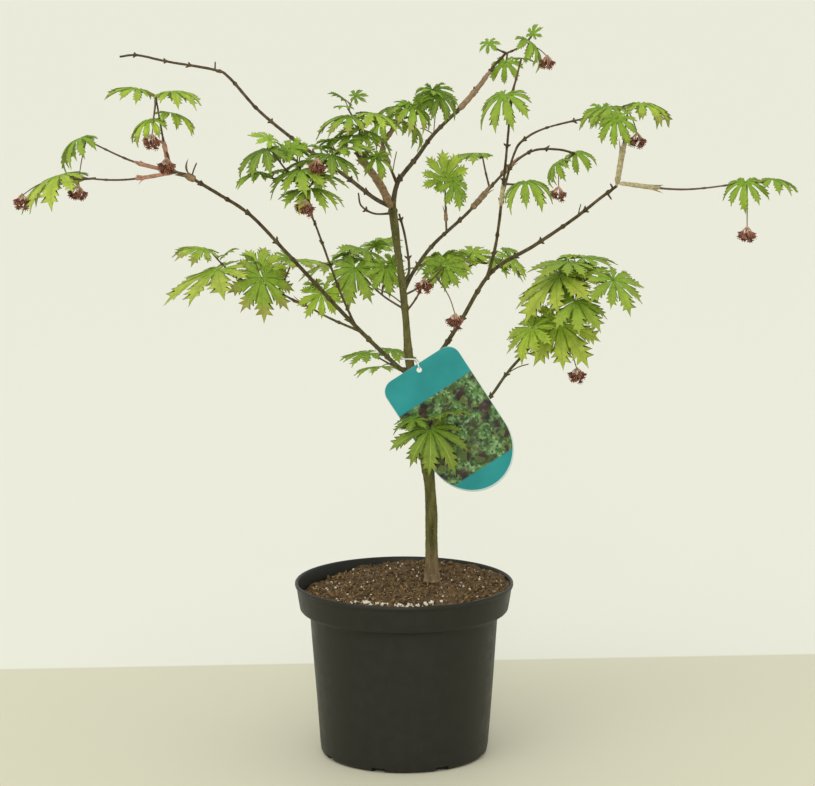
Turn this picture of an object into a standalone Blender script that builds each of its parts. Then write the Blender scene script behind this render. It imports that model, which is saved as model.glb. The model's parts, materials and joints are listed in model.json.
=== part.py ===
"""Potted full moon maple: a young grafted maple with several thin boughs, in a black nursery pot.

Units are metres, +Z is up and -Y is the front. The origin is the centre of the pot's flat underside.
Places and sizes in the tables are in millimetres. Each limb is a smooth curve from its parent limb, and
each mass of leaves grows by one seeded rule: shoots leave a stem, a shoot carries its leaves in turned
pairs on stalks, and blossom hangs below some tips.
"""

import math
from collections import namedtuple

import bmesh
import bpy
import numpy as np
from mathutils import Matrix, Vector
from mathutils.bvhtree import BVHTree

MM = 0.001
GAP = 0.3  # clearance between pieces that rest on each other
WELD = 0.000001  # metres

# Nursery pot, a turned shell
POT_HEIGHT = 176.5
POT_BASE_RADIUS = 84.5
POT_WALL_TOP_RADIUS = 95.0
POT_RIM_RADIUS = 110.0
POT_RIM_BAND = 29.0
POT_WALL = 1.6
POT_FLOOR = 2.4
POT_CORNER = 6.0
POT_SEGMENTS = 36
DRAIN_HOLES = 8
DRAIN_RADIUS = 7.0
DRAIN_FIRST_TURN = -108.0  # degrees round from +X

# Potting mix: level with the rim in front, sunk behind on the left
SOIL_AT_STEM = 172.0
SOIL_BELOW_RIM = 5.0
SOIL_SUNK = 13.0
SOIL_SUNK_TURN = 150.0
SOIL_LUMPS = 1.6
STEM_SEAT = 13.0  # radius of the level patch round the stem's foot

# Plant label: a plate on a tie, hung in front of the trunk
LABEL_WIDTH = 86.0
LABEL_LENGTH = 145.0
LABEL_OVAL = 47.0  # length of the half oval at its lower end
LABEL_CORNER = 13.0
LABEL_THICKNESS = 0.7
LABEL_TILT = 33.0
LABEL_HOLE = (15.0, -14.6, 394.5)
LABEL_HOLE_RADIUS = 2.6
LABEL_HOLE_FROM_TOP = 6.0
TIE_RADIUS = 0.7
TIE_LOOP = [(15, -14.6, 396.0), (14.5, -19, 398.5), (11.5, -14.5, 404.5), (0.5, -6.5, 404),
            (-0.2, 2.5, 403.5), (5.5, 5.9, 402.5), (12, 2, 400), (15, -6, 397)]

# The trunk: way from the soil to its top fork, and its radius by height
TRUNK_WAY = [(28, 15, 172), (28, 15, 180), (27.5, 12, 213), (27, 7, 258), (23, 2, 298), (14, 0, 346),
             (5, 0, 404), (2, 2, 440), (-2, 4, 480), (-7, 5, 515), (-12, 6, 560)]
TRUNK_RADII = [(172, 9.5), (178, 7.6), (190, 6.6), (230, 6.0), (280, 5.6), (298, 6.4), (320, 5.2),
               (404, 4.3), (440, 3.6), (515, 3.6), (545, 4.3), (560, 3.6)]

# A limb leaves its parent at a height, runs through its way to its tip, and thins from foot to tip
Limb = namedtuple("Limb", "name parent height way thick thin sides")
LIMBS = [
    Limb("bough_left", "trunk", 384, [(-15, -9, 405), (-57, -34, 451), (-114, -74, 520),
         (-147, -88, 557), (-176, -99, 578), (-208, -112, 599)], 2.7, 1.8, 8),
    Limb("twig_front_left", "bough_left", 441, [(-62, -64, 480), (-81, -120, 544),
         (-86, -136, 560)], 1.5, 1.2, 6),
    Limb("twig_low_left", "bough_left", 434, [(-74, 7, 443), (-96, 44, 449)], 1.5, 1.2, 6),
    Limb("bough_bare", "trunk", 554, [(-30, 17, 562), (-61, 51, 582), (-103, 96, 606),
         (-148, 134, 638), (-180, 162, 670), (-196, 171, 678), (-246, 194, 685), (-279, 206, 691),
         (-298, 214, 689)], 2.6, 1.3, 8),
    Limb("bough_top_right", "trunk", 555, [(-8, 9, 573), (-3, 16, 583), (13, 44, 600), (30, 77, 620),
         (58, 106, 645), (77, 125, 665), (92, 141, 684), (104, 152, 696)], 3.0, 1.6, 8),
    Limb("shoot_top_left", "trunk", 550, [(-23, -9, 577), (-34, -29, 595), (-46, -60, 614)], 2.5, 1.8, 8),
    Limb("shoot_top_middle", "bough_top_right", 576, [(-14, 5, 594), (-20, 3, 608),
         (-21, 2, 617)], 1.7, 1.4, 6),
    Limb("stem_second", "trunk", 478, [(5, 9, 491), (1, 17, 523), (-5, 19, 546)], 1.6, 1.2, 6),
    Limb("bough_right_back", "trunk", 470, [(10, 17, 489), (29, 49, 511), (64, 106, 536),
         (87, 134, 558), (114, 160, 583), (136, 179, 594), (162, 198, 593),
         (179, 208, 588)], 2.4, 1.4, 8),
    Limb("bough_right", "trunk", 372, [(26, -6, 397), (40, -8.5, 417), (56, -18, 444), (85, -40, 495),
         (125, -70, 525), (161, -93, 553), (187, -109, 576), (201, -118, 588)], 2.8, 1.8, 8),
    Limb("shoot_right", "bough_right", 489, [(89, -67, 528), (94, -94, 580), (98, -118, 634),
         (100, -133, 674)], 2.0, 1.3, 6),
    Limb("twig_right", "shoot_right", 574, [(105, -80, 614), (115, -74, 628), (137, -60, 638),
         (180, -33, 646)], 1.4, 1.1, 6),
    Limb("bough_low_right", "trunk", 298, [(46, 0, 322), (65, 4, 341), (86, 13, 362), (103, 25, 384),
         (119, 38, 400), (133, 50, 413)], 2.3, 1.6, 8),
    Limb("twig_hooked", "trunk", 548, [(-29, 2, 548), (-42, -1, 556), (-45, -3, 569)], 1.3, 1.0, 6),
]

# A mass of leaves starts at a limb's tip, or on its side at a height. Each shoot leaves the shoot before
# it in the list that it names (its number), part of the way along.
Shoot = namedtuple("Shoot", "after share tip leaves size heading pitch curl stalk blossom")
Mass = namedtuple("Mass", "name limb height seed reach shoots")
MASSES = [
    Mass("foliage_far_left", "bough_left", None, 11, 260, [
        Shoot(None, 0, (-304, -92, 630), 1, 44, 200, 20, 1.5, 8, (7, 37)),
        Shoot(0, 0.06, (-322, -140, 600), 1, 68, 188, 10, 1.2, 3, (36, 26)),
        Shoot(0, 0.14, (-233, -122, 673), 2, 38, 172, -8, 1.0, 17, (4, 42)),
        Shoot(0, 0.1, (-224, -116, 620), 0, 0, 0, 0, 0, 0, (0, 15)),
        Shoot(1, 0.7, (-326, -128, 598), 1, 44, 232, 30, 1.3, 5, None),
        Shoot(2, 0.65, (-224, -116, 656), 1, 36, 356, 6, 1.0, 4, None),
        Shoot(2, 0.98, (-235, -132, 650), 1, 33, 215, 12, 1.5, 3, None),
    ]),
    Mass("foliage_low_left", "twig_low_left", None, 12, 220, [
        Shoot(None, 0, (-144, 28, 481), 1, 48, 275, 58, 0.5, 4, None),
        Shoot(0, 0.75, (-184, 46, 485), 1, 74, 210, 22, 0.5, 5, None),
        Shoot(0, 0.9, (-147, 58, 482), 1, 38, 85, -44, 0.6, 5, None),
        Shoot(0, 0.15, (-82, 18, 466), 1, 31, 285, 56, 0.8, 3, None),
        Shoot(1, 0.6, (-197, 70, 503), 1, 42, 176, -14, 0.8, 5, None),
        Shoot(0, 0.6, (-112, 34, 496), 1, 38, 20, -6, 0.5, 6, None),
    ]),
    Mass("foliage_front_left", "twig_front_left", None, 13, 130, [
        Shoot(None, 0, (-93, -152, 606), 3, 43, 232, 6, 0.95, 9, (-1, 37)),
        Shoot(0, 0.55, (-122, -160, 624), 2, 42, 196, 16, 1.1, 8, None),
        Shoot(0, 0.6, (-73, -140, 615), 3, 39, 312, 16, 0.9, 9, None),
        Shoot(1, 0.3, (-131, -150, 601), 1, 31, 186, 4, 0.9, 4, None),
        Shoot(0, 0.8, (-101, -128, 614), 1, 34, 275, 46, 0.8, 6, None),
        Shoot(2, 0.9, (-62, -130, 621), 1, 32, 340, -20, 0.7, 7, None),
        Shoot(2, 0.6, (-80, -172, 614), 0, 0, 0, 0, 0, 0, (0, 4)),
    ]),
    Mass("foliage_behind_left", "trunk", 452, 14, 200, [
        Shoot(None, 0, (-49, 78, 484), 1, 46, 250, 42, 0.7, 5, None),
        Shoot(0, 0.45, (-19, 52, 487), 1, 32, 275, 46, 0.7, 5, None),
        Shoot(0, 0.9, (-56, 118, 482), 2, 44, 170, 14, 0.6, 14, None),
        Shoot(0, 0.95, (-33, 96, 500), 2, 34, 80, -20, 0.5, 8, None),
    ]),
    Mass("foliage_low_behind", "trunk", 392, 15, 110, [
        Shoot(None, 0, (-28, 34, 400), 3, 32, 190, 6, 0.5, 12, None),
    ]),
    Mass("foliage_top_left", "shoot_top_left", None, 16, 130, [
        Shoot(None, 0, (-41, -78, 647), 4, 42, 196, 6, 1.0, 11, None),
        Shoot(0, 0.1, (-29, -62, 607), 1, 25, 300, 38, 1.0, 5, None),
        Shoot(0, 0.3, (-61, -84, 630), 1, 31, 228, 42, 1.0, 5, None),
        Shoot(0, 0.8, (-54, -70, 658), 1, 30, 240, 60, 1.2, 6, None),
    ]),
    Mass("foliage_top_middle", "shoot_top_middle", None, 17, 110, [
        Shoot(None, 0, (0, -4, 652), 4, 36, 322, 20, 1.3, 12, None),
        Shoot(0, 0.9, (30, 6, 662), 3, 36, 295, 30, 1.4, 8, None),
        Shoot(0, 0.5, (-16, -8, 643), 1, 30, 225, 34, 1.2, 5, None),
        Shoot(0, 0.7, (14, -14, 649), 1, 30, 268, 62, 1.2, 5, None),
    ]),
    Mass("foliage_top_right", "bough_top_right", None, 18, 120, [
        Shoot(None, 0, (126, 168, 707), 1, 39, 352, 36, 1.6, 4, (22, 23)),
        Shoot(0, 0.05, (87, 140, 707), 1, 16, 250, 50, 0.6, 4, None),
        Shoot(0, 0.1, (104, 146, 686), 1, 27, 255, 42, 1.4, 3, None),
        Shoot(0, 0.97, (132, 172, 713), 1, 15, 60, -66, 0.6, 3, None),
    ]),
    Mass("foliage_front_right", "shoot_right", None, 19, 95, [
        Shoot(None, 0, (109, -148, 710), 1, 15, 60, 8, 0.6, 4, None),
        Shoot(0, 0.06, (97, -138, 673), 3, 41, 232, 30, 1.3, 5, None),
        Shoot(0, 0.3, (98, -134, 652), 2, 31, 196, 22, 0.8, 5, None),
    ]),
    Mass("foliage_inner_right", "bough_right_back", 521, 20, 100, [
        Shoot(None, 0, (41, 74, 576), 1, 34, 100, -72, 0.4, 2, None),
        Shoot(0, 0.8, (46, 66, 571), 2, 33, 300, 60, 0.5, 6, None),
        Shoot(0, 0.9, (42, 60, 567), 2, 35, 230, 34, 0.9, 6, None),
    ]),
    Mass("foliage_back_right", "bough_right_back", 559, 21, 90, [
        Shoot(None, 0, (80, 140, 594), 1, 38, 184, -4, 0.8, 5, None),
        Shoot(0, 0.9, (76, 138, 590), 1, 30, 238, 46, 1.0, 3, None),
    ]),
    Mass("foliage_hanging_right", "shoot_right", 588, 22, 70, [
        Shoot(None, 0, (117, -104, 590), 1, 42, 268, 12, 1.6, 3, None),
    ]),
    Mass("foliage_right_back", "bough_right_back", None, 23, 80, [
        Shoot(None, 0, (179, 212, 587), 2, 29, 300, 16, 1.6, 2, None),
        Shoot(0, 0.15, (162, 196, 579), 1, 36, 196, 34, 1.6, 2, (0, 34)),
    ]),
    Mass("foliage_behind_right", "trunk", 466, 24, 230, [
        Shoot(None, 0, (41, 92, 488), 2, 40, 285, 24, 0.8, 12, None),
        Shoot(0, 0.8, (81, 150, 482), 2, 44, 345, 8, 0.8, 14, None),
        Shoot(0, 0.5, (42, 64, 486), 1, 32, 262, 50, 0.5, 6, None),
        Shoot(1, 0.9, (104, 140, 482), 1, 34, 320, 42, 0.5, 6, None),
    ]),
    Mass("foliage_far_right", "bough_right", None, 25, 290, [
        Shoot(None, 0, (210, -132, 662), 2, 43, 188, 4, 1.3, 15, (-9, 32)),
        Shoot(0, 0.04, (322, -160, 596), 1, 36, 250, 30, 1.3, 3, (7, 50)),
        Shoot(1, 0.97, (340, -170, 599), 1, 33, 350, 6, 0.9, 3, None),
        Shoot(0, 0.9, (198, -170, 656), 1, 32, 240, 40, 1.2, 3, None),
    ]),
    Mass("foliage_mid_right", "twig_right", None, 26, 60, [
        Shoot(None, 0, (191, -34, 647), 2, 29, 100, 20, 1.3, 8, None),
    ]),
    Mass("foliage_low_right", "bough_low_right", None, 27, 170, [
        Shoot(None, 0, (165, 52, 477), 1, 66, 222, 34, 0.6, 11, None),
        Shoot(0, 0.8, (189, 50, 479), 1, 78, 340, 28, 0.5, 9, None),
        Shoot(0, 0.85, (163, 92, 468), 2, 48, 70, -16, 0.7, 9, None),
        Shoot(0, 0.05, (157, 38, 432), 1, 54, 280, 52, 0.5, 3, None),
        Shoot(0, 0.5, (172, 20, 457), 1, 47, 300, 44, 0.8, 5, None),
        Shoot(0, 0.9, (183, 84, 483), 1, 50, 2, 8, 0.5, 5, None),
        Shoot(0, 0.72, (174, 50, 494), 2, 44, 40, -8, 0.5, 10, None),
        Shoot(1, 0.9, (205, 20, 477), 1, 48, 318, 40, 0.5, 6, None),
        Shoot(3, 0.5, (132, 30, 428), 1, 40, 212, 36, 0.5, 6, None),
        Shoot(0, 0.9, (184, 40, 489), 1, 40, 20, -58, 0.4, 5, None),
        Shoot(3, 0.7, (159, 34, 421), 0, 0, 0, 0, 0, 0, (15, 42)),
    ]),
    Mass("foliage_front_low", "trunk", 305, 28, 130, [
        Shoot(None, 0, (8, -20, 315), 0, 0, 0, 0, 0, 0, None),
        Shoot(0, 1, (26, -50, 342), 1, 54, 264, 34, 1.1, 6, None),
        Shoot(1, 0.5, (14, -46, 350), 1, 27, 200, 18, 0.5, 4, None),
        Shoot(1, 0.9, (33, -54, 357), 1, 33, 330, -14, 0.5, 5, None),
        Shoot(1, 0.6, (47, -40, 367), 1, 34, 285, 66, 0.5, 5, None),
    ]),
    Mass("blossom_low", "trunk", 449, 29, 80, [
        Shoot(None, 0, (20, -22, 482), 0, 0, 0, 0, 0, 0, (0, 5)),
        Shoot(0, 0.9, (39, -34, 500), 1, 17, 20, 20, 0.6, 4, None),
        Shoot(1, 0.6, (38, -44, 483), 0, 0, 0, 0, 0, 0, (12, 37)),
    ]),
]

# Leaf: a round, deeply cut palm of toothed lobes, on a stalk
PAIR_TURN = 52.0  # each pair is turned this far from the pair above it
PAIR_STEP = 20.0  # millimetres along the shoot between pairs
LOBES_LARGE = 9
LOBES_SMALL = 7
LARGE_LEAF = 54.0
FAN = 140.0  # the outermost lobes' turn from the middle one, in degrees
NOTCH = 0.30  # depth of the cuts, as the share of the blade left whole
SHOULDER = 0.60
SHOULDER_WIDTH = 0.175
BLADE_THICKNESS = 1.4
STALK_RISE = 24.0
TRIES = 14
STALK_RADIUS = 0.7
STALK_SINK = 0.9  # how far behind the hub a stalk ends, inside the blade
SHOOT_THICK = 1.3
SHOOT_THIN = 0.9
BLOSSOM_RADIUS = 6.5

COLORS = {
    "pot": ((0.035, 0.036, 0.033, 1), 0.42),
    "soil": ((0.11, 0.075, 0.05, 1), 0.95),
    "bark": ((0.17, 0.14, 0.07, 1), 0.75),
    "bough": ((0.12, 0.075, 0.05, 1), 0.65),
    "leaf": ((0.23, 0.36, 0.07, 1), 0.55),
    "label": ((0.02, 0.30, 0.31, 1), 0.3),
    "tie": ((0.8, 0.8, 0.78, 1), 0.4),
}


def clear_scene():
    for thing in list(bpy.data.objects):
        bpy.data.objects.remove(thing, do_unlink=True)


def material(key):
    """The Principled material for one kind of surface, made once."""
    found = bpy.data.materials.get(key)
    if found:
        return found
    made = bpy.data.materials.new(key)
    made.use_nodes = True
    shader = made.node_tree.nodes["Principled BSDF"]
    color, roughness = COLORS[key]
    shader.inputs["Base Color"].default_value = color
    shader.inputs["Roughness"].default_value = roughness
    shader.inputs["Metallic"].default_value = 0.0
    made.diffuse_color = color
    return made


def add_object(name, mesh, collection, key=None):
    thing = bpy.data.objects.new(name, mesh)
    collection.objects.link(thing)
    if key:
        mesh.materials.clear()
        mesh.materials.append(material(key))
    return thing


def hide_cutter(thing):
    thing.hide_render = True
    thing.display_type = "WIRE"


def read_mesh(thing, weld=0.0):
    """A copy of an object's mesh with its modifiers applied, its seams welded within a distance."""
    view = bpy.context.evaluated_depsgraph_get()
    mesh = bpy.data.meshes.new_from_object(thing.evaluated_get(view))
    if not weld:
        return mesh
    work = bmesh.new()
    work.from_mesh(mesh)
    bmesh.ops.remove_doubles(work, verts=work.verts, dist=weld)
    work.to_mesh(mesh)
    work.free()
    return mesh


def smooth_way(places, step):
    """Points about a step apart on the Catmull-Rom curve through the places, both in millimetres."""
    p = np.asarray(places, float)
    p = np.vstack([2 * p[0] - p[1], p, 2 * p[-1] - p[-2]])
    out = []
    for a, b, c, d in zip(p, p[1:], p[2:], p[3:]):
        pieces = max(1, round(float(np.linalg.norm(c - b)) / step))
        t = np.linspace(0, 1, pieces, endpoint=False)[:, None]
        out.append(0.5 * (2 * b + (c - a) * t + (2 * a - 5 * b + 4 * c - d) * t**2
                          + (3 * b - a - 3 * c + d) * t**3))
    return np.vstack(out + [p[-2:-1]])


def shares(way):
    """How far along a way each of its points is, from 0 to 1."""
    run = np.concatenate([[0], np.cumsum(np.linalg.norm(np.diff(way, axis=0), axis=1))])
    return run / run[-1]


def way_length(way):
    return float(np.linalg.norm(np.diff(way, axis=0), axis=1).sum())


def place_at(way, share):
    along = shares(way)
    return np.array([np.interp(share, along, way[:, k]) for k in range(3)])


def rod(name, way, radii, sides, collection, key=None):
    """A closed tube along a way in millimetres: a bevelled curve with filled caps, made a mesh."""
    curve = bpy.data.curves.new(name, "CURVE")
    curve.dimensions = "3D"
    curve.bevel_depth = 1.0
    curve.bevel_resolution = sides // 2 - 2
    curve.use_fill_caps = True
    spline = curve.splines.new("POLY")
    spline.points.add(len(way) - 1)
    for point, place, radius in zip(spline.points, way, radii):
        point.co = (*(place * MM), 1)
        point.radius = radius * MM
    guide = bpy.data.objects.new(name, curve)
    collection.objects.link(guide)
    mesh = read_mesh(guide, WELD)
    bpy.data.objects.remove(guide, do_unlink=True)
    return add_object(name, mesh, collection, key)


def cut(thing, cutter, label="Seat"):
    boolean = thing.modifiers.new(label, "BOOLEAN")
    boolean.operation = "DIFFERENCE"
    boolean.object = cutter


def turned(name, profile, segments, collection, key):
    """A solid of revolution from a closed profile of (radius, height) in millimetres."""
    mesh = bpy.data.meshes.new(name)
    points = [(r * MM, 0, z * MM) for r, z in profile]
    edges = [(i, i + 1) for i in range(len(points) - 1)]
    mesh.from_pydata(points, edges, [])
    thing = add_object(name, mesh, collection, key)
    screw = thing.modifiers.new("Turn", "SCREW")
    screw.steps = segments
    screw.render_steps = segments
    screw.use_merge_vertices = True
    screw.merge_threshold = 0.00001
    screw.use_normal_calculate = True
    return thing


def wall_radius(z):
    """The pot wall's outer radius at a height below the rim band."""
    share = z / (POT_HEIGHT - POT_RIM_BAND)
    return POT_BASE_RADIUS + (POT_WALL_TOP_RADIUS - POT_BASE_RADIUS) * share


def inner_radius(z):
    """The pot's inside radius at a height, above and below the ledge under the rim band."""
    ledge = POT_HEIGHT - POT_RIM_BAND
    if z <= ledge:
        return wall_radius(z) - POT_WALL
    share = (z - ledge) / POT_RIM_BAND
    low = POT_RIM_RADIUS - 4.5 - POT_WALL
    return low + (POT_RIM_RADIUS - POT_WALL - 1.4 - low) * share


def build_pot(parts, helpers):
    ledge = POT_HEIGHT - POT_RIM_BAND
    corner = [(POT_BASE_RADIUS - POT_CORNER * (1 - math.sin(a)), POT_CORNER * (1 - math.cos(a)))
              for a in np.linspace(0, math.pi / 2, 4)]
    outside = [(0, 0)] + corner + [
        (POT_WALL_TOP_RADIUS - 0.3, ledge - 4), (POT_WALL_TOP_RADIUS + 2.5, ledge - 0.6),
        (POT_RIM_RADIUS - 8.5, ledge), (POT_RIM_RADIUS - 4.6, ledge + 4),
        (POT_RIM_RADIUS - 1.2, POT_HEIGHT - 4), (POT_RIM_RADIUS, POT_HEIGHT - 2.4),
        (POT_RIM_RADIUS - 0.6, POT_HEIGHT)]
    inside = [(POT_RIM_RADIUS - POT_WALL - 1.0, POT_HEIGHT), (inner_radius(ledge + 3), ledge + 3),
              (inner_radius(ledge), ledge + 1.4), (inner_radius(POT_FLOOR + 4), POT_FLOOR + 4),
              (POT_BASE_RADIUS - 8, POT_FLOOR), (0, POT_FLOOR)]
    pot = turned("pot", (outside + inside)[::-1], POT_SEGMENTS, parts, "pot")
    for i in range(DRAIN_HOLES):
        turn = math.radians(DRAIN_FIRST_TURN + 360 / DRAIN_HOLES * i)
        bpy.ops.mesh.primitive_cylinder_add(vertices=12, radius=DRAIN_RADIUS * MM, depth=16 * MM)
        drill = bpy.context.object
        drill.name = f"drain_{i}"
        drill.location = ((POT_BASE_RADIUS - 2) * MM * math.cos(turn),
                          (POT_BASE_RADIUS - 2) * MM * math.sin(turn), -3 * MM)
        for home in list(drill.users_collection):
            home.objects.unlink(drill)
        helpers.objects.link(drill)
        hide_cutter(drill)
        cut(pot, drill, f"Drain {i}")
    return pot


def soil_height(x, y):
    """The mix's height at a place: domed round the stem, lower by the wall, most so behind on the left."""
    out = math.hypot(x, y) / (POT_RIM_RADIUS - 5)
    toward = math.cos(math.atan2(y, x) - math.radians(SOIL_SUNK_TURN))
    edge = POT_HEIGHT - SOIL_BELOW_RIM - SOIL_SUNK * max(0.0, toward) ** 1.5
    ripple = SOIL_LUMPS * math.sin(x * 0.13 + 1) * math.cos(y * 0.17 - x * 0.06)
    return SOIL_AT_STEM + (edge - SOIL_AT_STEM) * min(1.0, out) ** 2 + ripple * min(1.0, out * 2)


def build_soil(parts):
    """A plug that fills the pot, with rings that widen from the stem's foot to the wall."""
    segments = 28
    foot = Vector(TRUNK_WAY[0][:2])
    work = bmesh.new()
    rings = []
    ledge = POT_HEIGHT - POT_RIM_BAND
    for z in (POT_FLOOR + GAP, POT_FLOOR + 4.5, ledge + 1.9, ledge + 3.9):
        radius = inner_radius(z) * math.cos(math.pi / POT_SEGMENTS) - GAP
        if z < POT_FLOOR + 1:
            radius = POT_BASE_RADIUS - 8.6
        if ledge < z < ledge + 2:
            radius = inner_radius(ledge) * math.cos(math.pi / POT_SEGMENTS) - GAP
        rings.append([(radius * math.cos(a), radius * math.sin(a), z)
                      for a in np.arange(segments) * math.tau / segments])
    for share in (1.0, 0.8, 0.5, 0.22, 0.0):
        ring = []
        for a in np.arange(segments) * math.tau / segments:
            seat = foot + Vector((math.cos(a), math.sin(a))) * STEM_SEAT
            wide = Vector((math.cos(a), math.sin(a))) * (POT_RIM_RADIUS - 9)
            flat = seat.lerp(wide, share)
            z = soil_height(*flat) if share else SOIL_AT_STEM - GAP
            if share == 1.0:
                flat = flat.normalized() * (inner_radius(z) * math.cos(math.pi / POT_SEGMENTS) - GAP)
            ring.append((flat.x, flat.y, z))
        rings.append(ring)
    loops = [[work.verts.new(Vector(p) * MM) for p in ring] for ring in rings]
    for low, high in zip(loops, loops[1:]):
        for i in range(segments):
            j = (i + 1) % segments
            work.faces.new((low[i], low[j], high[j], high[i]))
    work.faces.new(loops[0][::-1])
    work.faces.new(loops[-1])
    bmesh.ops.triangulate(work, faces=work.faces)
    mesh = bpy.data.meshes.new("potting_mix")
    work.to_mesh(mesh)
    work.free()
    return add_object("potting_mix", mesh, parts, "soil")


class Plant:
    """The limbs as ways and radii, and their cutters, which are wider by the gap."""

    def __init__(self, parts, helpers):
        self.parts, self.helpers = parts, helpers
        self.ways, self.radii, self.cutters, self.guards = {}, {}, {}, []

    def add(self, name, way, radii, sides, key, parent=None):
        self.ways[name], self.radii[name] = way, radii
        limb = rod(name, way, radii, sides, self.parts, key)
        if parent:
            cut(limb, self.cutters[parent])
        first, last = way[0] - way[1], way[-1] - way[-2]
        longer = np.vstack([way[0] + GAP * first / np.linalg.norm(first), way[1:-1],
                            way[-1] + GAP * last / np.linalg.norm(last)])
        self.cutters[name] = rod(f"seat_{name}", longer, radii + GAP, sides, self.helpers)
        hide_cutter(self.cutters[name])
        return limb

    def foot(self, parent, height):
        """The place on a limb's middle line at a height."""
        way = self.ways[parent]
        order = np.argsort(way[:, 2])
        return np.array([np.interp(height, way[order, 2], way[order, k]) for k in range(3)])

    def guard(self, thing):
        """Adds a finished piece to those that no later leaf may touch."""
        mesh = read_mesh(thing)
        corners = [v.co.copy() for v in mesh.vertices]
        self.guards.append(BVHTree.FromPolygons(corners, [f.vertices[:] for f in mesh.polygons]))
        bpy.data.meshes.remove(mesh)


def build_limbs(plant):
    way = smooth_way(TRUNK_WAY, 24)
    heights, sizes = zip(*TRUNK_RADII)
    stops = [z for z in heights if z not in way[:, 2]]
    way = np.vstack([way] + [[np.interp(z, way[:, 2], way[:, k]) for k in range(3)] for z in stops])
    way = way[np.argsort(way[:, 2])]
    keep = np.concatenate([[True], np.diff(way[:, 2]) > 2.5])
    way = way[keep]
    plant.add("trunk", way, np.interp(way[:, 2], heights, sizes), 10, "bark")
    for limb in LIMBS:
        places = [plant.foot(limb.parent, limb.height)] + limb.way
        way = smooth_way(places, 30)
        radii = limb.thick + (limb.thin - limb.thick) * shares(way)
        plant.add(limb.name, way, radii, limb.sides, "bough", limb.parent)


def label_axes():
    """The label's axes: along its top edge, down its length, and out of its front face."""
    tilt = math.radians(LABEL_TILT)
    along = np.array([math.cos(tilt), 0, math.sin(tilt)])
    down = np.array([math.sin(tilt), 0, -math.cos(tilt)])
    return along, down, np.array([0.0, -1.0, 0.0])


def label_outline():
    """The label's edge about its hole: rounded top corners, straight sides and a half oval below."""
    half, top = LABEL_WIDTH / 2, -LABEL_HOLE_FROM_TOP
    arc = np.linspace(0, math.pi / 2, 6)
    right = [(half - LABEL_CORNER * (1 - math.sin(a)), top + LABEL_CORNER * (1 - math.cos(a))) for a in arc]
    oval = [(half * math.cos(a), top + LABEL_LENGTH - LABEL_OVAL + LABEL_OVAL * math.sin(a))
            for a in np.linspace(0, math.pi, 19)]
    left = [(-u, v) for u, v in reversed(right)]
    return right + oval + left


def build_label(parts):
    """The plate, a filled flat outline with the hole as its second loop, and the tie through the hole."""
    hole = [(LABEL_HOLE_RADIUS * math.cos(a), LABEL_HOLE_RADIUS * math.sin(a))
            for a in np.arange(12) * math.tau / 12]
    curve = bpy.data.curves.new("plant_label", "CURVE")
    curve.dimensions = "2D"
    curve.fill_mode = "BOTH"
    curve.extrude = LABEL_THICKNESS / 2 * MM
    for loop in (label_outline(), hole):
        spline = curve.splines.new("POLY")
        spline.use_cyclic_u = True
        spline.points.add(len(loop) - 1)
        for point, (u, v) in zip(spline.points, loop):
            point.co = (u * MM, -v * MM, 0, 1)
    guide = bpy.data.objects.new("plant_label", curve)
    parts.objects.link(guide)
    mesh = read_mesh(guide, WELD)
    bpy.data.objects.remove(guide, do_unlink=True)
    along, down, front = label_axes()
    turn = Matrix([along, -down, front]).transposed().to_4x4()
    mesh.transform(Matrix.Translation(Vector(LABEL_HOLE) * MM) @ turn)
    label = add_object("plant_label", mesh, parts, "label")
    loop = np.array(TIE_LOOP + TIE_LOOP[:1], float)
    padded = np.vstack([loop[-2], loop, loop[1]])
    way = []
    for a, b, c, d in zip(padded, padded[1:], padded[2:], padded[3:]):
        t = np.linspace(0, 1, 4, endpoint=False)[:, None]
        way.append(0.5 * (2 * b + (c - a) * t + (2 * a - 5 * b + 4 * c - d) * t**2
                          + (3 * b - a - 3 * c + d) * t**3))
    way = np.vstack(way)
    ring = bpy.data.curves.new("label_tie", "CURVE")
    ring.dimensions = "3D"
    ring.bevel_depth = TIE_RADIUS * MM
    ring.bevel_resolution = 1
    spline = ring.splines.new("POLY")
    spline.use_cyclic_u = True
    spline.points.add(len(way) - 1)
    for point, place in zip(spline.points, way):
        point.co = (*(place * MM), 1)
    tie = bpy.data.objects.new("label_tie", ring)
    parts.objects.link(tie)
    ring.materials.append(material("tie"))
    return label, tie


def leaf_outline(size):
    """The lobes of one leaf as (turn, length) pairs: the middle lobe is longest, the outer ones short."""
    count = LOBES_LARGE if size >= LARGE_LEAF else LOBES_SMALL
    turns = np.radians(np.linspace(-FAN, FAN, count))
    lengths = size * (1 - 0.5 * np.abs(turns / math.radians(FAN)) ** 1.7)
    return turns, lengths


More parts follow.
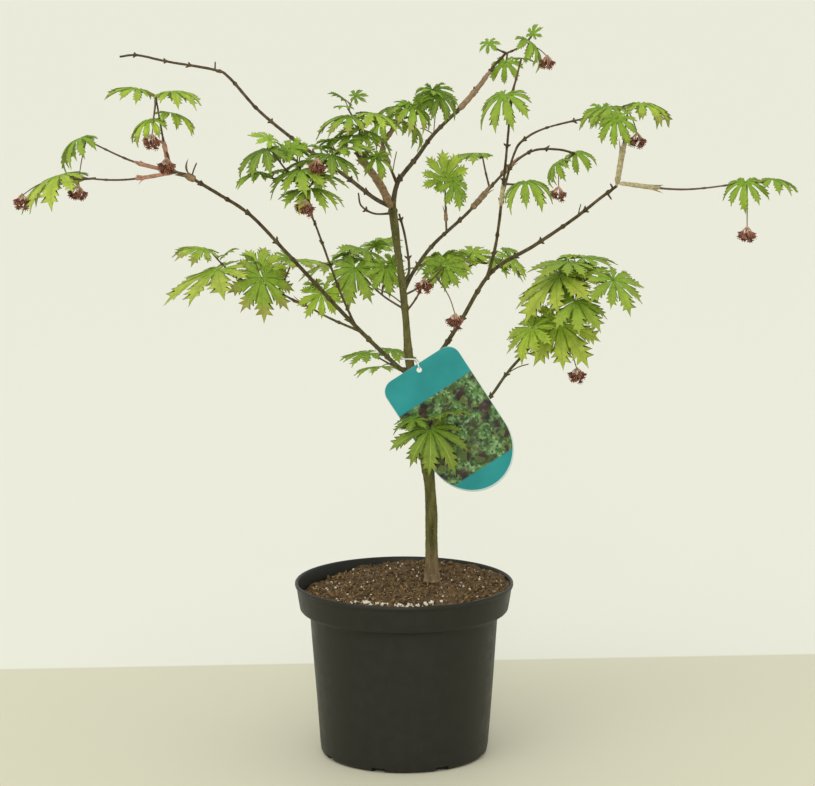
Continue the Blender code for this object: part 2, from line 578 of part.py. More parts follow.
def leaf_blade(size, curl):
    """Corners and faces of a leaf about its hub: X along the middle lobe, the blade domed downwards.

    A place r out in the flat leaf goes to size/curl * sin(curl * r/size) out and
    size/curl * (1 - cos(curl * r/size)) down, so the blade bends without stretching.
    """
    turns, lengths = leaf_outline(size)
    half_step = (turns[1] - turns[0]) / 2
    wide = math.atan2(SHOULDER_WIDTH, SHOULDER)
    flat, rim = [(0, 0), (0, 0), (math.pi, 0.07 * size)], [2]
    for turn, length in zip(turns, lengths):
        rim += range(len(flat), len(flat) + 4)
        flat += [(turn - wide, SHOULDER * length), (turn, length), (turn + wide, SHOULDER * length),
                 (turn + half_step, NOTCH * size)]
    flat.pop()
    rim[-1] = 2
    faces = [(0, a, b) for a, b in zip(rim, rim[1:])] + [(1, b, a) for a, b in zip(rim, rim[1:])]
    lift = np.zeros(len(flat))
    lift[:2] = BLADE_THICKNESS / 2, -BLADE_THICKNESS / 2
    turn, r = np.array(flat).T
    bend = curl * r / size
    out, down = size / curl * np.sin(bend), size / curl * (1 - np.cos(bend))
    up = np.stack([np.sin(bend) * np.cos(turn), np.sin(bend) * np.sin(turn), np.cos(bend)], 1)
    corners = np.stack([out * np.cos(turn), out * np.sin(turn), -down], 1)
    return corners + up * lift[:, None], faces


def leaf_frame(heading, pitch, roll):
    """Axes of a leaf: along its middle lobe, across it, and out of its upper face."""
    h, p, r = np.radians([heading, pitch, roll])
    along = np.array([math.cos(h) * math.cos(p), math.sin(h) * math.cos(p), -math.sin(p)])
    level = np.array([-math.sin(h), math.cos(h), 0])
    face = np.cross(along, level)
    across = math.cos(r) * level + math.sin(r) * face
    return np.stack([along, across, np.cross(along, across)])


def rise(heading, angle):
    h, a = np.radians([heading, angle])
    return np.array([math.cos(h) * math.cos(a), math.sin(h) * math.cos(a), math.sin(a)])


def shoot_way(start, tip):
    """A shoot's way: it leaves level and turns up towards its tip."""
    middle = (start + tip) / 2 - np.array([0, 0, 0.05 * np.linalg.norm(tip - start)])
    return smooth_way([start, middle, tip], 40)


Leaf = namedtuple("Leaf", "node hub frame size curl")


def leaf_tries(shoot, way, number, rng):
    """Places for one leaf of a shoot, each a little further from where the rule first puts it."""
    pair, side = divmod(number, 2)
    node = place_at(way, 0.97 - PAIR_STEP / way_length(way) * pair)
    size = shoot.size * (1 + rng.uniform(-0.07, 0.07))
    for astray in np.linspace(0.2, 1.0, TRIES):
        heading = shoot.heading + PAIR_TURN * pair + 180 * side + astray * rng.uniform(-50, 50)
        pitch = shoot.pitch + astray * rng.uniform(-28, 28)
        stalk = shoot.stalk * (1 + astray * rng.uniform(-0.4, 0.8))
        hub = node + stalk * rise(heading, STALK_RISE + astray * rng.uniform(-40, 40))
        yield Leaf(node, hub, leaf_frame(heading, pitch, astray * rng.uniform(-30, 30)), size, shoot.curl)


def fuse(name, pieces, parts, key):
    """One closed body: a single Boolean union of the first piece with a collection of the others."""
    group = bpy.data.collections.new(f"{name}_pieces")
    bpy.context.scene.collection.children.link(group)
    for piece in pieces[1:]:
        for home in list(piece.users_collection):
            home.objects.unlink(piece)
        group.objects.link(piece)
    union = pieces[0].modifiers.new("Fuse", "BOOLEAN")
    union.operation = "UNION"
    union.operand_type = "COLLECTION"
    union.collection = group
    mesh = read_mesh(pieces[0])
    for piece in pieces:
        bpy.data.objects.remove(piece, do_unlink=True)
    bpy.data.collections.remove(group)
    keep_largest(mesh)
    return add_object(name, mesh, parts, key)


def keep_largest(mesh):
    """Leaves only the largest closed shell: sealed hollows and loose scraps go."""
    work = bmesh.new()
    work.from_mesh(mesh)
    bmesh.ops.triangulate(work, faces=work.faces)
    left, shells = set(work.verts), []
    while left:
        shell, front = set(), [left.pop()]
        while front:
            corner = front.pop()
            shell.add(corner)
            near = {edge.other_vert(corner) for edge in corner.link_edges} & left
            left -= near
            front += near
        shells.append(shell)
    largest = max(shells, key=len)
    bmesh.ops.delete(work, geom=[v for v in work.verts if v not in largest], context="VERTS")
    work.to_mesh(mesh)
    work.free()


def settle(tries, foot, reach, guards, others):
    """The first try within reach of the mass's foot that meets no guard and no other leaf, or None."""
    for leaf in tries:
        corners, faces = leaf_blade(leaf.size, leaf.curl)
        corners = corners @ leaf.frame + leaf.hub
        if np.linalg.norm(corners - foot, axis=1).max() > reach:
            continue
        tree = BVHTree.FromPolygons((corners * MM).tolist(), faces)
        if not any(tree.overlap(other) for other in guards + others):
            others.append(tree)
            return leaf, corners, faces
    return None


def build_mass(plant, mass):
    """Grows one mass of leaves and fuses it; a leaf out of the mass's reach or on a limb is skipped."""
    rng = np.random.default_rng(mass.seed)
    helpers, pieces, ways = plant.helpers, [], []
    limb = plant.ways[mass.limb]
    if mass.height is None:
        foot = limb[-1]
    else:
        foot = plant.foot(mass.limb, mass.height)
    for shoot in mass.shoots:
        start = foot if shoot.after is None else place_at(ways[shoot.after], shoot.share)
        way = shoot_way(start, np.array(shoot.tip, float))
        thick = plant.radii[mass.limb][-1] if shoot.after is None and mass.height is None else SHOOT_THICK
        radii = thick + (SHOOT_THIN - thick) * shares(way)
        ways.append(way)
        pieces.append(rod("shoot", way, radii, 4, helpers))
    others = []
    for shoot, shoot_line in zip(mass.shoots, ways):
        for number in range(shoot.leaves):
            found = settle(leaf_tries(shoot, shoot_line, number, rng), foot, mass.reach, plant.guards, others)
            if not found:
                continue
            leaf, corners, faces = found
            mesh = bpy.data.meshes.new("leaf")
            mesh.from_pydata((corners * MM).tolist(), [], faces)
            pieces.append(add_object("leaf", mesh, helpers))
            way = np.array([leaf.node, leaf.hub - STALK_SINK * leaf.frame[0]])
            pieces.append(rod("stalk", way, [STALK_RADIUS] * 2, 4, helpers))
        if shoot.blossom:
            out, down = shoot.blossom
            low = shoot_line[-1] + out * rise(shoot.heading, 0) - np.array([0, 0, down])
            way = np.array([place_at(shoot_line, 0.98), low])
            pieces.append(rod("stalk", way, [STALK_RADIUS] * 2, 4, helpers))
            bpy.ops.mesh.primitive_ico_sphere_add(subdivisions=1, radius=BLOSSOM_RADIUS * MM)
            bead = bpy.context.object
            bead.data.transform(Matrix.Translation(Vector(low * MM)))
            pieces.append(bead)
    body = fuse(mass.name, pieces, plant.parts, "leaf")
    cut(body, plant.cutters[mass.limb])
    plant.guard(body)
    return body


def main():
    clear_scene()
    parts = bpy.data.collections.new("potted full moon maple")
    helpers = bpy.data.collections.new("cutters")
    for collection in (parts, helpers):
        bpy.context.scene.collection.children.link(collection)
    pot = build_pot(parts, helpers)
    soil = build_soil(parts)
    plant = Plant(parts, helpers)
    build_limbs(plant)
    label, tie = build_label(parts)
    for thing in [pot, soil, label, tie] + [parts.objects[name] for name in plant.ways]:
        plant.guard(thing)
    for mass in MASSES:
        build_mass(plant, mass)


main()
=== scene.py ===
"""Looks of a potted full moon maple: bark, leaves, blossom, bud sheaths, nursery pot, potting mix and label.

Tables are in millimetres in the frame's axes: +Z up, -Y to the front, the origin under the pot's middle.
Meshes are made in metres. Limbs and leaves grow by the rule of the part itself, with finer forms.
"""

import functools
import json
import math
from collections import namedtuple

import bpy
import numpy as np
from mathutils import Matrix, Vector
from mathutils.bvhtree import BVHTree

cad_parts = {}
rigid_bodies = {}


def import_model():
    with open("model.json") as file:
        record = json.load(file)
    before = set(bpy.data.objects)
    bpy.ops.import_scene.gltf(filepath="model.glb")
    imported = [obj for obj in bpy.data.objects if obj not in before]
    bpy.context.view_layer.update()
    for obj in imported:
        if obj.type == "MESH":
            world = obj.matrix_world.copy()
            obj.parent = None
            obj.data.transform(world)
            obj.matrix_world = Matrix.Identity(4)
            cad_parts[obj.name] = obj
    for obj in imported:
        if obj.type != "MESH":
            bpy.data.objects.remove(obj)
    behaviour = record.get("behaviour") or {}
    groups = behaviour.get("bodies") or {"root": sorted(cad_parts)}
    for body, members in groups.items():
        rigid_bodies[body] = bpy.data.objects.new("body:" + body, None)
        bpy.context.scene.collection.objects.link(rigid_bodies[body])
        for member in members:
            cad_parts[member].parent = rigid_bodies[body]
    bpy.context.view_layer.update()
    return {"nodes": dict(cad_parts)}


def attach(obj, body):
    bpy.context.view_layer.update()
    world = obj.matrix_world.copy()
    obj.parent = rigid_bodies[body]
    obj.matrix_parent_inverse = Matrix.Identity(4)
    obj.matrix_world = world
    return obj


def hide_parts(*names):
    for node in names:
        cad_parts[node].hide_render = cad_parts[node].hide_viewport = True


bl_info = {
    "name": "Potted full moon maple",
    "version": (1, 0, 0),
    "blender": (4, 5, 0),
    "location": "3D View > Sidebar > Maple",
    "description": "Makes the fine surfaces of a potted full moon maple round its frame",
    "category": "Add Mesh",
}

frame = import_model()
MM = 0.001

# Nursery pot
POT_HEIGHT = 176.5
POT_BASE_RADIUS = 84.5
POT_WALL_TOP_RADIUS = 95.0
POT_RIM_RADIUS = 110.0
POT_RIM_BAND = 29.0
POT_WALL = 1.6
POT_FLOOR = 2.4
POT_CORNER = 6.0
POT_AROUND = 192
UNDER_RADII = (20, 50, 68)
FOOT_ROWS = 9
WALL_ROWS = 26
# The rim's section from the wall to the lip and down inside, as steps out or in and up or down from a corner
WALL_TURN = [(-0.2, -3.4), (0.9, -1.6), (3.2, -0.5)]
RIM_OUTSIDE = [(8.6, 0), (6.4, 0.7), (5.1, 2.2), (4.6, 4.6), (3.2, 13)]
RIM_LIP = [(1.9, 7), (1.6, 4.6), (0.4, 3.9), (0, 2.6), (0.1, 1.0), (0.7, 0.15), (1.5, 0)]
LIP_INSIDE = [(0.9, 0.3), (1.6, 1.8)]
RIM_INSIDE = [(3.4, 13), (5.0, 3.4), (9.0, 1.6)]
POT_SEAM_TURNS = (-91.0, 89.0)  # mould seams, degrees round from +X
DRAIN_HOLES = 8
DRAIN_RADIUS = 7.0
DRAIN_FIRST_TURN = -108.0
SCUFF_COLOR = (0.030, 0.030, 0.024)

# Potting mix
SOIL_AT_STEM = 172.0
SOIL_BELOW_RIM = 3.0
SOIL_SUNK = 13.0
SOIL_SUNK_TURN = 160.0
SOIL_LUMPS = 1.6
SOIL_AROUND = 180
SOIL_ROWS = 60
SOIL_REACH = POT_RIM_RADIUS - 5.2
STEM_CLEAR = 9.5  # no crumbs nearer the trunk's middle
CRUMB_SIZES = [(0.55, 0.7, 1.7), (0.33, 0.9, 2.4), (0.12, 0.8, 2.0)]  # share, smallest, largest of each tone
CRUMB_SQUASH = (1.5, 0.8, 0.55)
GRAIN_SQUASH = (1, 0.9, 0.8)
TAN_COLOR = (0.29, 0.19, 0.08)
GRAIN_COLOR = (0.70, 0.65, 0.52)
DRIFT_SHARE = 0.30  # of the pale grains, washed against the rim at the front
DRIFT_TURN = 268.0

# Plant label and its tie
LABEL_WIDTH = 86.0
LABEL_LENGTH = 145.0
LABEL_OVAL = 47.0
LABEL_CORNER = 13.0
LABEL_THICKNESS = 0.7
LABEL_TILT = 33.0
LABEL_HOLE = (15.0, -14.6, 394.5)
LABEL_HOLE_RADIUS = 2.6
LABEL_HOLE_FROM_TOP = 6.0
LABEL_BOW = 1.4  # how far its lower end curls forwards
PRINT_FROM = 29.0  # where the leafy print starts and ends, down from the hole
PRINT_TO = 117.0
PRINT_GREENS = [(0.0, (0.02, 0.07, 0.02)), (0.35, (0.075, 0.18, 0.045)), (0.7, (0.15, 0.29, 0.09)),
                (0.95, (0.30, 0.42, 0.21))]
PRINT_DARKS = [(0.0, (0.012, 0.018, 0.018)), (0.4, (0.055, 0.022, 0.024)), (0.7, (0.03, 0.08, 0.015)),
               (1.0, (0.13, 0.17, 0.04))]
LABEL_AROUND = 360
LABEL_RINGS = 14  # across its front, from the hole to the edge, and as many less one behind
TIE_RADIUS = 0.7
TIE_COLOR = (0.75, 0.75, 0.72)
TIE_LOOP = [(15, -14.6, 396.0), (14.5, -19, 398.5), (11.5, -14.5, 404.5), (0.5, -6.5, 404),
            (-0.2, 2.5, 403.5), (5.5, 5.9, 402.5), (12, 2, 400), (15, -6, 397)]

# Camera, floor and lights
CAMERA_PLACE = (3.4, -2944.1, 886.7)
CAMERA_DIP = 9.98  # degrees below level
CAMERA_LENS = 132.5
FLOOR_REACH = 90000.0
FLOOR_AROUND = 64
FLOOR_RINGS = 8
BACK_LINE = 342.0  # where the floor's tone changes behind the pot
BACK_SOFT = 3.0
BACK_TURN = 4.1  # how far that line turns from the camera's own, in degrees
KEY_PLACE = (-900, -2100, 2600)
KEY_ANGLE = 60.0
STRIP_PLACE = (-60, -3600, 1500)
STRIP_SIZE = (0.35, 2.2)  # in metres
STRIP_POWER = 18.0
LIGHTS_AIM = (0, 0, 350)

# The trunk: way from the soil to its top fork, its radius by height, and its joints as (share, swelling)
TRUNK_WAY = [(28, 15, 172), (28, 15, 180), (27.5, 12, 213), (27, 7, 258), (23, 2, 298), (14, 0, 346),
             (5, 0, 404), (2, 2, 440), (-2, 4, 480), (-7, 5, 515), (-12, 6, 560)]
TRUNK_RADII = [(172, 9.5), (178, 7.6), (190, 6.6), (230, 6.0), (280, 5.6), (298, 6.4), (320, 5.2),
               (404, 4.3), (440, 3.6), (515, 3.6), (545, 4.3), (560, 3.6)]
TRUNK_JOINTS = [(0.30, 0.5), (0.345, 1.3), (0.47, 0.35), (0.62, 0.4), (0.73, 0.6), (0.86, 0.5), (0.975, 0.9)]

# Limbs and shoots: the steps of the part's own ways, and the finer ones here
TRUNK_STEP = 24.0
LIMB_STEP = 30.0
SHOOT_STEP = 40.0
BARK_STEP = 1.0
FINE_STEP = 1.5
CLASP_STEP = 1.2  # of the ways that sheaths and stubs are set on
LIMB_SLIMNESS = 0.82  # a limb under its bark is this much slimmer than its solid
JOINTS_APART = 31.0

# Bark: the trunk's at its foot and above it, the boughs' low and high in the crown, and their pale scars
FOOT_BARK = (0.210, 0.145, 0.075)
STEM_BARK = (0.106, 0.100, 0.028)
STEM_SCARS = (0.24, 0.20, 0.12)
FOOT_ENDS = (182.0, 214.0)
LOW_BARK = (0.086, 0.079, 0.027)
HIGH_BARK = (0.080, 0.056, 0.024)
BOUGH_SCARS = (0.20, 0.14, 0.09)
CROWN_SPAN = (380.0, 600.0)

# A limb leaves its parent at a height, runs through its way to its tip, and thins from foot to tip
Limb = namedtuple("Limb", "name parent height way thick thin")
LIMBS = [
    Limb("bough_left", "trunk", 384, [(-15, -9, 405), (-57, -34, 451), (-114, -74, 520),
         (-147, -88, 557), (-176, -99, 578), (-208, -112, 599)], 2.7, 1.8),
    Limb("twig_front_left", "bough_left", 441, [(-62, -64, 480), (-81, -120, 544),
         (-86, -136, 560)], 1.5, 1.2),
    Limb("twig_low_left", "bough_left", 434, [(-74, 7, 443), (-96, 44, 449)], 1.5, 1.2),
    Limb("bough_bare", "trunk", 554, [(-30, 17, 562), (-61, 51, 582), (-103, 96, 606),
         (-148, 134, 638), (-180, 162, 670), (-196, 171, 678), (-246, 194, 685), (-279, 206, 691),
         (-298, 214, 689)], 2.6, 1.3),
    Limb("bough_top_right", "trunk", 555, [(-8, 9, 573), (-3, 16, 583), (13, 44, 600), (30, 77, 620),
         (58, 106, 645), (77, 125, 665), (92, 141, 684), (104, 152, 696)], 3.0, 1.6),
    Limb("shoot_top_left", "trunk", 550, [(-23, -9, 577), (-34, -29, 595), (-46, -60, 614)], 2.5, 1.8),
    Limb("shoot_top_middle", "bough_top_right", 576, [(-14, 5, 594), (-20, 3, 608),
         (-21, 2, 617)], 1.7, 1.4),
    Limb("stem_second", "trunk", 478, [(5, 9, 491), (1, 17, 523), (-5, 19, 546)], 1.6, 1.2),
    Limb("bough_right_back", "trunk", 470, [(10, 17, 489), (29, 49, 511), (64, 106, 536),
         (87, 134, 558), (114, 160, 583), (136, 179, 594), (162, 198, 593),
         (179, 208, 588)], 2.4, 1.4),
    Limb("bough_right", "trunk", 372, [(26, -6, 397), (40, -8.5, 417), (56, -18, 444), (85, -40, 495),
         (125, -70, 525), (161, -93, 553), (187, -109, 576), (201, -118, 588)], 2.8, 1.8),
    Limb("shoot_right", "bough_right", 489, [(89, -67, 528), (94, -94, 580), (98, -118, 634),
         (100, -133, 674)], 2.0, 1.3),
    Limb("twig_right", "shoot_right", 574, [(105, -80, 614), (115, -74, 628), (137, -60, 638),
         (180, -33, 646)], 1.4, 1.1),
    Limb("bough_low_right", "trunk", 298, [(46, 0, 322), (65, 4, 341), (86, 13, 362), (103, 25, 384),
         (119, 38, 400), (133, 50, 413)], 2.3, 1.6),
    Limb("twig_hooked", "trunk", 548, [(-29, 2, 548), (-42, -1, 556), (-45, -3, 569)], 1.3, 1.0),
]

# A mass of leaves starts at a limb's tip, or on its side at a height. Each shoot leaves the shoot before
# it in the list that it names (its number), part of the way along.
Shoot = namedtuple("Shoot", "after share tip leaves size heading pitch curl stalk blossom",
                   defaults=(0, 0, 0, 0, 0, 0, None))
Mass = namedtuple("Mass", "name limb height seed reach shoots")
MASSES = [
    Mass("foliage_far_left", "bough_left", None, 11, 260, [
        Shoot(None, 0, (-304, -92, 630), 1, 44, 200, 20, 1.5, 8, (7, 37)),
        Shoot(0, 0.06, (-322, -140, 600), 1, 68, 188, 10, 1.2, 3, (36, 26)),
        Shoot(0, 0.14, (-233, -122, 673), 2, 38, 172, -8, 1.0, 17, (4, 42)),
        Shoot(0, 0.1, (-224, -116, 620), blossom=(0, 15)),
        Shoot(1, 0.7, (-326, -128, 598), 1, 44, 232, 30, 1.3, 5),
        Shoot(2, 0.65, (-224, -116, 656), 1, 36, 356, 6, 1.0, 4),
        Shoot(2, 0.98, (-235, -132, 650), 1, 33, 215, 12, 1.5, 3),
    ]),
    Mass("foliage_low_left", "twig_low_left", None, 12, 220, [
        Shoot(None, 0, (-144, 28, 481), 1, 48, 275, 58, 0.5, 4),
        Shoot(0, 0.75, (-184, 46, 485), 1, 74, 210, 22, 0.5, 5),
        Shoot(0, 0.9, (-147, 58, 482), 1, 38, 85, -44, 0.6, 5),
        Shoot(0, 0.15, (-82, 18, 466), 1, 31, 285, 56, 0.8, 3),
        Shoot(1, 0.6, (-197, 70, 503), 1, 42, 176, -14, 0.8, 5),
        Shoot(0, 0.6, (-112, 34, 496), 1, 38, 20, -6, 0.5, 6),
    ]),
    Mass("foliage_front_left", "twig_front_left", None, 13, 130, [
        Shoot(None, 0, (-93, -152, 606), 3, 43, 232, 6, 0.95, 9, (-1, 37)),
        Shoot(0, 0.55, (-122, -160, 624), 2, 42, 196, 16, 1.1, 8),
        Shoot(0, 0.6, (-73, -140, 615), 3, 39, 312, 16, 0.9, 9),
        Shoot(1, 0.3, (-131, -150, 601), 1, 31, 186, 4, 0.9, 4),
        Shoot(0, 0.8, (-101, -128, 614), 1, 34, 275, 46, 0.8, 6),
        Shoot(2, 0.9, (-62, -130, 621), 1, 32, 340, -20, 0.7, 7),
        Shoot(2, 0.6, (-80, -172, 614), blossom=(0, 4)),
    ]),
    Mass("foliage_behind_left", "trunk", 452, 14, 200, [
        Shoot(None, 0, (-49, 78, 484), 1, 46, 250, 42, 0.7, 5),
        Shoot(0, 0.45, (-19, 52, 487), 1, 32, 275, 46, 0.7, 5),
        Shoot(0, 0.9, (-56, 118, 482), 2, 44, 170, 14, 0.6, 14),
        Shoot(0, 0.95, (-33, 96, 500), 2, 34, 80, -20, 0.5, 8),
    ]),
    Mass("foliage_low_behind", "trunk", 392, 15, 110, [
        Shoot(None, 0, (-28, 34, 400), 3, 32, 190, 6, 0.5, 12),
    ]),
    Mass("foliage_top_left", "shoot_top_left", None, 16, 130, [
        Shoot(None, 0, (-41, -78, 647), 4, 42, 196, 6, 1.0, 11),
        Shoot(0, 0.1, (-29, -62, 607), 1, 25, 300, 38, 1.0, 5),
        Shoot(0, 0.3, (-61, -84, 630), 1, 31, 228, 42, 1.0, 5),
        Shoot(0, 0.8, (-54, -70, 658), 1, 30, 240, 60, 1.2, 6),
    ]),
    Mass("foliage_top_middle", "shoot_top_middle", None, 17, 110, [
        Shoot(None, 0, (0, -4, 652), 4, 36, 322, 20, 1.3, 12),
        Shoot(0, 0.9, (30, 6, 662), 3, 36, 295, 30, 1.4, 8),
        Shoot(0, 0.5, (-16, -8, 643), 1, 30, 225, 34, 1.2, 5),
        Shoot(0, 0.7, (14, -14, 649), 1, 30, 268, 62, 1.2, 5),
    ]),
    Mass("foliage_top_right", "bough_top_right", None, 18, 120, [
        Shoot(None, 0, (126, 168, 707), 1, 39, 352, 36, 1.6, 4, (22, 23)),
        Shoot(0, 0.05, (87, 140, 707), 1, 16, 250, 50, 0.6, 4),
        Shoot(0, 0.1, (104, 146, 686), 1, 27, 255, 42, 1.4, 3),
        Shoot(0, 0.97, (132, 172, 713), 1, 15, 60, -66, 0.6, 3),
    ]),
    Mass("foliage_front_right", "shoot_right", None, 19, 95, [
        Shoot(None, 0, (109, -148, 710), 1, 15, 60, 8, 0.6, 4),
        Shoot(0, 0.06, (97, -138, 673), 3, 41, 232, 30, 1.3, 5),
        Shoot(0, 0.3, (98, -134, 652), 2, 31, 196, 22, 0.8, 5),
    ]),
    Mass("foliage_inner_right", "bough_right_back", 521, 20, 100, [
        Shoot(None, 0, (41, 74, 576), 1, 34, 100, -72, 0.4, 2),
        Shoot(0, 0.8, (46, 66, 571), 2, 33, 300, 60, 0.5, 6),
        Shoot(0, 0.9, (42, 60, 567), 2, 35, 230, 34, 0.9, 6),
    ]),
    Mass("foliage_back_right", "bough_right_back", 559, 21, 90, [
        Shoot(None, 0, (80, 140, 594), 1, 38, 184, -4, 0.8, 5),
        Shoot(0, 0.9, (76, 138, 590), 1, 30, 238, 46, 1.0, 3),
    ]),
    Mass("foliage_hanging_right", "shoot_right", 588, 22, 70, [
        Shoot(None, 0, (117, -104, 590), 1, 42, 268, 12, 1.6, 3),
    ]),
    Mass("foliage_right_back", "bough_right_back", None, 23, 80, [
        Shoot(None, 0, (179, 212, 587), 2, 29, 300, 16, 1.6, 2),
        Shoot(0, 0.15, (162, 196, 579), 1, 36, 196, 34, 1.6, 2, (0, 34)),
    ]),
    Mass("foliage_behind_right", "trunk", 466, 24, 230, [
        Shoot(None, 0, (41, 92, 488), 2, 40, 285, 24, 0.8, 12),
        Shoot(0, 0.8, (81, 150, 482), 2, 44, 345, 8, 0.8, 14),
        Shoot(0, 0.5, (42, 64, 486), 1, 32, 262, 50, 0.5, 6),
        Shoot(1, 0.9, (104, 140, 482), 1, 34, 320, 42, 0.5, 6),
    ]),
    Mass("foliage_far_right", "bough_right", None, 25, 290, [
        Shoot(None, 0, (210, -132, 662), 2, 43, 188, 4, 1.3, 15, (-9, 32)),
        Shoot(0, 0.04, (322, -160, 596), 1, 36, 250, 30, 1.3, 3, (7, 50)),
        Shoot(1, 0.97, (340, -170, 599), 1, 33, 350, 6, 0.9, 3),
        Shoot(0, 0.9, (198, -170, 656), 1, 32, 240, 40, 1.2, 3),
    ]),
    Mass("foliage_mid_right", "twig_right", None, 26, 60, [
        Shoot(None, 0, (191, -34, 647), 2, 29, 100, 20, 1.3, 8),
    ]),
    Mass("foliage_low_right", "bough_low_right", None, 27, 170, [
        Shoot(None, 0, (165, 52, 477), 1, 66, 222, 34, 0.6, 11),
        Shoot(0, 0.8, (189, 50, 479), 1, 78, 340, 28, 0.5, 9),
        Shoot(0, 0.85, (163, 92, 468), 2, 48, 70, -16, 0.7, 9),
        Shoot(0, 0.05, (157, 38, 432), 1, 54, 280, 52, 0.5, 3),
        Shoot(0, 0.5, (172, 20, 457), 1, 47, 300, 44, 0.8, 5),
        Shoot(0, 0.9, (183, 84, 483), 1, 50, 2, 8, 0.5, 5),
        Shoot(0, 0.72, (174, 50, 494), 2, 44, 40, -8, 0.5, 10),
        Shoot(1, 0.9, (205, 20, 477), 1, 48, 318, 40, 0.5, 6),
        Shoot(3, 0.5, (132, 30, 428), 1, 40, 212, 36, 0.5, 6),
        Shoot(0, 0.9, (184, 40, 489), 1, 40, 20, -58, 0.4, 5),
        Shoot(3, 0.7, (159, 34, 421), blossom=(15, 42)),
    ]),
    Mass("foliage_front_low", "trunk", 305, 28, 130, [
        Shoot(None, 0, (8, -20, 315)),
        Shoot(0, 1, (26, -50, 342), 1, 54, 264, 34, 1.1, 6),
        Shoot(1, 0.5, (14, -46, 350), 1, 27, 200, 18, 0.5, 4),
        Shoot(1, 0.9, (33, -54, 357), 1, 33, 330, -14, 0.5, 5),
        Shoot(1, 0.6, (47, -40, 367), 1, 34, 285, 66, 0.5, 5),
    ]),
    Mass("blossom_low", "trunk", 449, 29, 80, [
        Shoot(None, 0, (20, -22, 482), blossom=(0, 5)),
        Shoot(0, 0.9, (39, -34, 500), 1, 17, 20, 20, 0.6, 4),
        Shoot(1, 0.6, (38, -44, 483), blossom=(12, 37)),
    ]),
]

# The part's own plain leaf, by which the rule finds each leaf's place: a cut palm of lobes on a stalk
PAIR_TURN = 52.0  # each pair is turned this far from the pair above it
PAIR_STEP = 20.0  # millimetres along the shoot between pairs
LOBES_LARGE = 9
LOBES_SMALL = 7
LARGE_LEAF = 54.0
FAN = 140.0  # the outermost lobes' turn from the middle one, in degrees
NOTCH = 0.30  # depth of the cuts, as the share of the blade left whole
SHOULDER = 0.60
SHOULDER_WIDTH = 0.175
BLADE_THICKNESS = 1.4
STALK_RISE = 24.0
TRIES = 14

# The leaf seen here: toothed lobes with veins on a round palm
FULL_LOBES = 9
FULL_LOBES_FROM = 30.0  # a smaller leaf has two lobes fewer
PALM_OLD = 0.32  # radius of the undivided palm, as a share of the leaf's size
PALM_YOUNG = 0.22
PALM_ROWS = (0.12, 0.45, 0.75, 1.0)
TIP_ROWS = 6  # of a lobe's rows, those that a bronze tip may colour
BUMP_RISE = 1.2  # a full-grown lobe's half width follows t^1.2 (1 - t)^1.5
BUMP_FALL = 1.5
TEETH_FROM = 0.20
TEETH_TO = 0.70
VEIN_SHARE = 0.07
VEIN_SLANT = -1.5  # a side vein runs this much forwards for each step aside
VEINS_PER_METRE = 62.0
HUB_TONE = (0.68, 0.87, 0.50)  # a leaf's colour is multiplied by these near its hub and further out
EDGE_TONE = (1.10, 1.06, 1.25)
HALF_BLADE = 0.16  # half the blade's thickness
# Round a lobe's section: how far aside as a share of its half width, the rise in half blades, and the part
SECTION_ASIDE = np.array([1, 0.5, VEIN_SHARE, -VEIN_SHARE, -0.5, -1, -0.5, 0, 0.5])
SECTION_RISE = np.array([0, 1, 1, 1, 1, 0, -1, -1.6, -1])
SECTION_PARTS = np.array([0, 0, 1, 0, 0, 2, 2, 2, 2])

# Blossom: a bunch's flowers spread from its crown, the middle ones straight down on the longest stalks
CROWN_UP = 9.0
GOLDEN_TURN = 0.382
MIDDLE_SPREAD = 6.0
OUTER_SPREAD = 62.0
MIDDLE_STALK = 11.5
OUTER_SHORTER = 5.5
STALK_RADIUS = 0.42
PETALS = 5
PETAL_LENGTHS = (4.6, 6.0)
PETAL_WIDTH = 4.2
STAMENS = 4
STAMEN_LENGTH = 3.8
STAMEN_RADIUS = 0.14

# Bud sheaths: way, first share, last share, radius at foot and mouth, tone, how far its scales flare
SHEATH_ROWS = 40
SHEATH_SPLIT = 12  # rows from its mouth to where its scales start
SHEATHS = [
    ("foliage_far_left.2", 0.02, 0.42, 2.6, 1.7, 1, 10), ("foliage_far_left.0", 0.03, 0.50, 1.7, 2.1, 1, 16),
    ("foliage_far_left.1", 0.03, 0.38, 1.6, 2.0, 1, 26), ("bough_left", 0.962, 0.995, 2.8, 2.8, 2, 70),
    ("bough_top_right", 0.62, 0.90, 2.8, 2.0, 2, 8), ("shoot_right", 0.44, 0.56, 2.4, 2.0, 0, 10),
    ("foliage_far_right.0", 0.0, 0.56, 2.5, 3.0, 0, 16), ("foliage_far_right.1", 0.0, 0.33, 1.9, 2.6, 0, 10),
    ("shoot_top_left", 0.02, 0.95, 4.0, 3.2, 2, 10), ("shoot_top_middle", 0.50, 0.98, 2.6, 2.3, 2, 10),
    ("foliage_top_middle.0", 0.1, 0.5, 2.2, 1.9, 2, 12), ("bough_right_back", 0.48, 0.58, 3.0, 2.6, 2, 8),
    ("bough_right_back", 0.66, 0.72, 2.7, 2.3, 2, 12), ("foliage_inner_right.0", 0.2, 0.35, 1.7, 1.6, 2, 12),
    ("foliage_low_right.0", 0.05, 0.2, 2.0, 1.8, 2, 14), ("foliage_low_left.0", 0.05, 0.2, 2.0, 1.8, 2, 14),
]
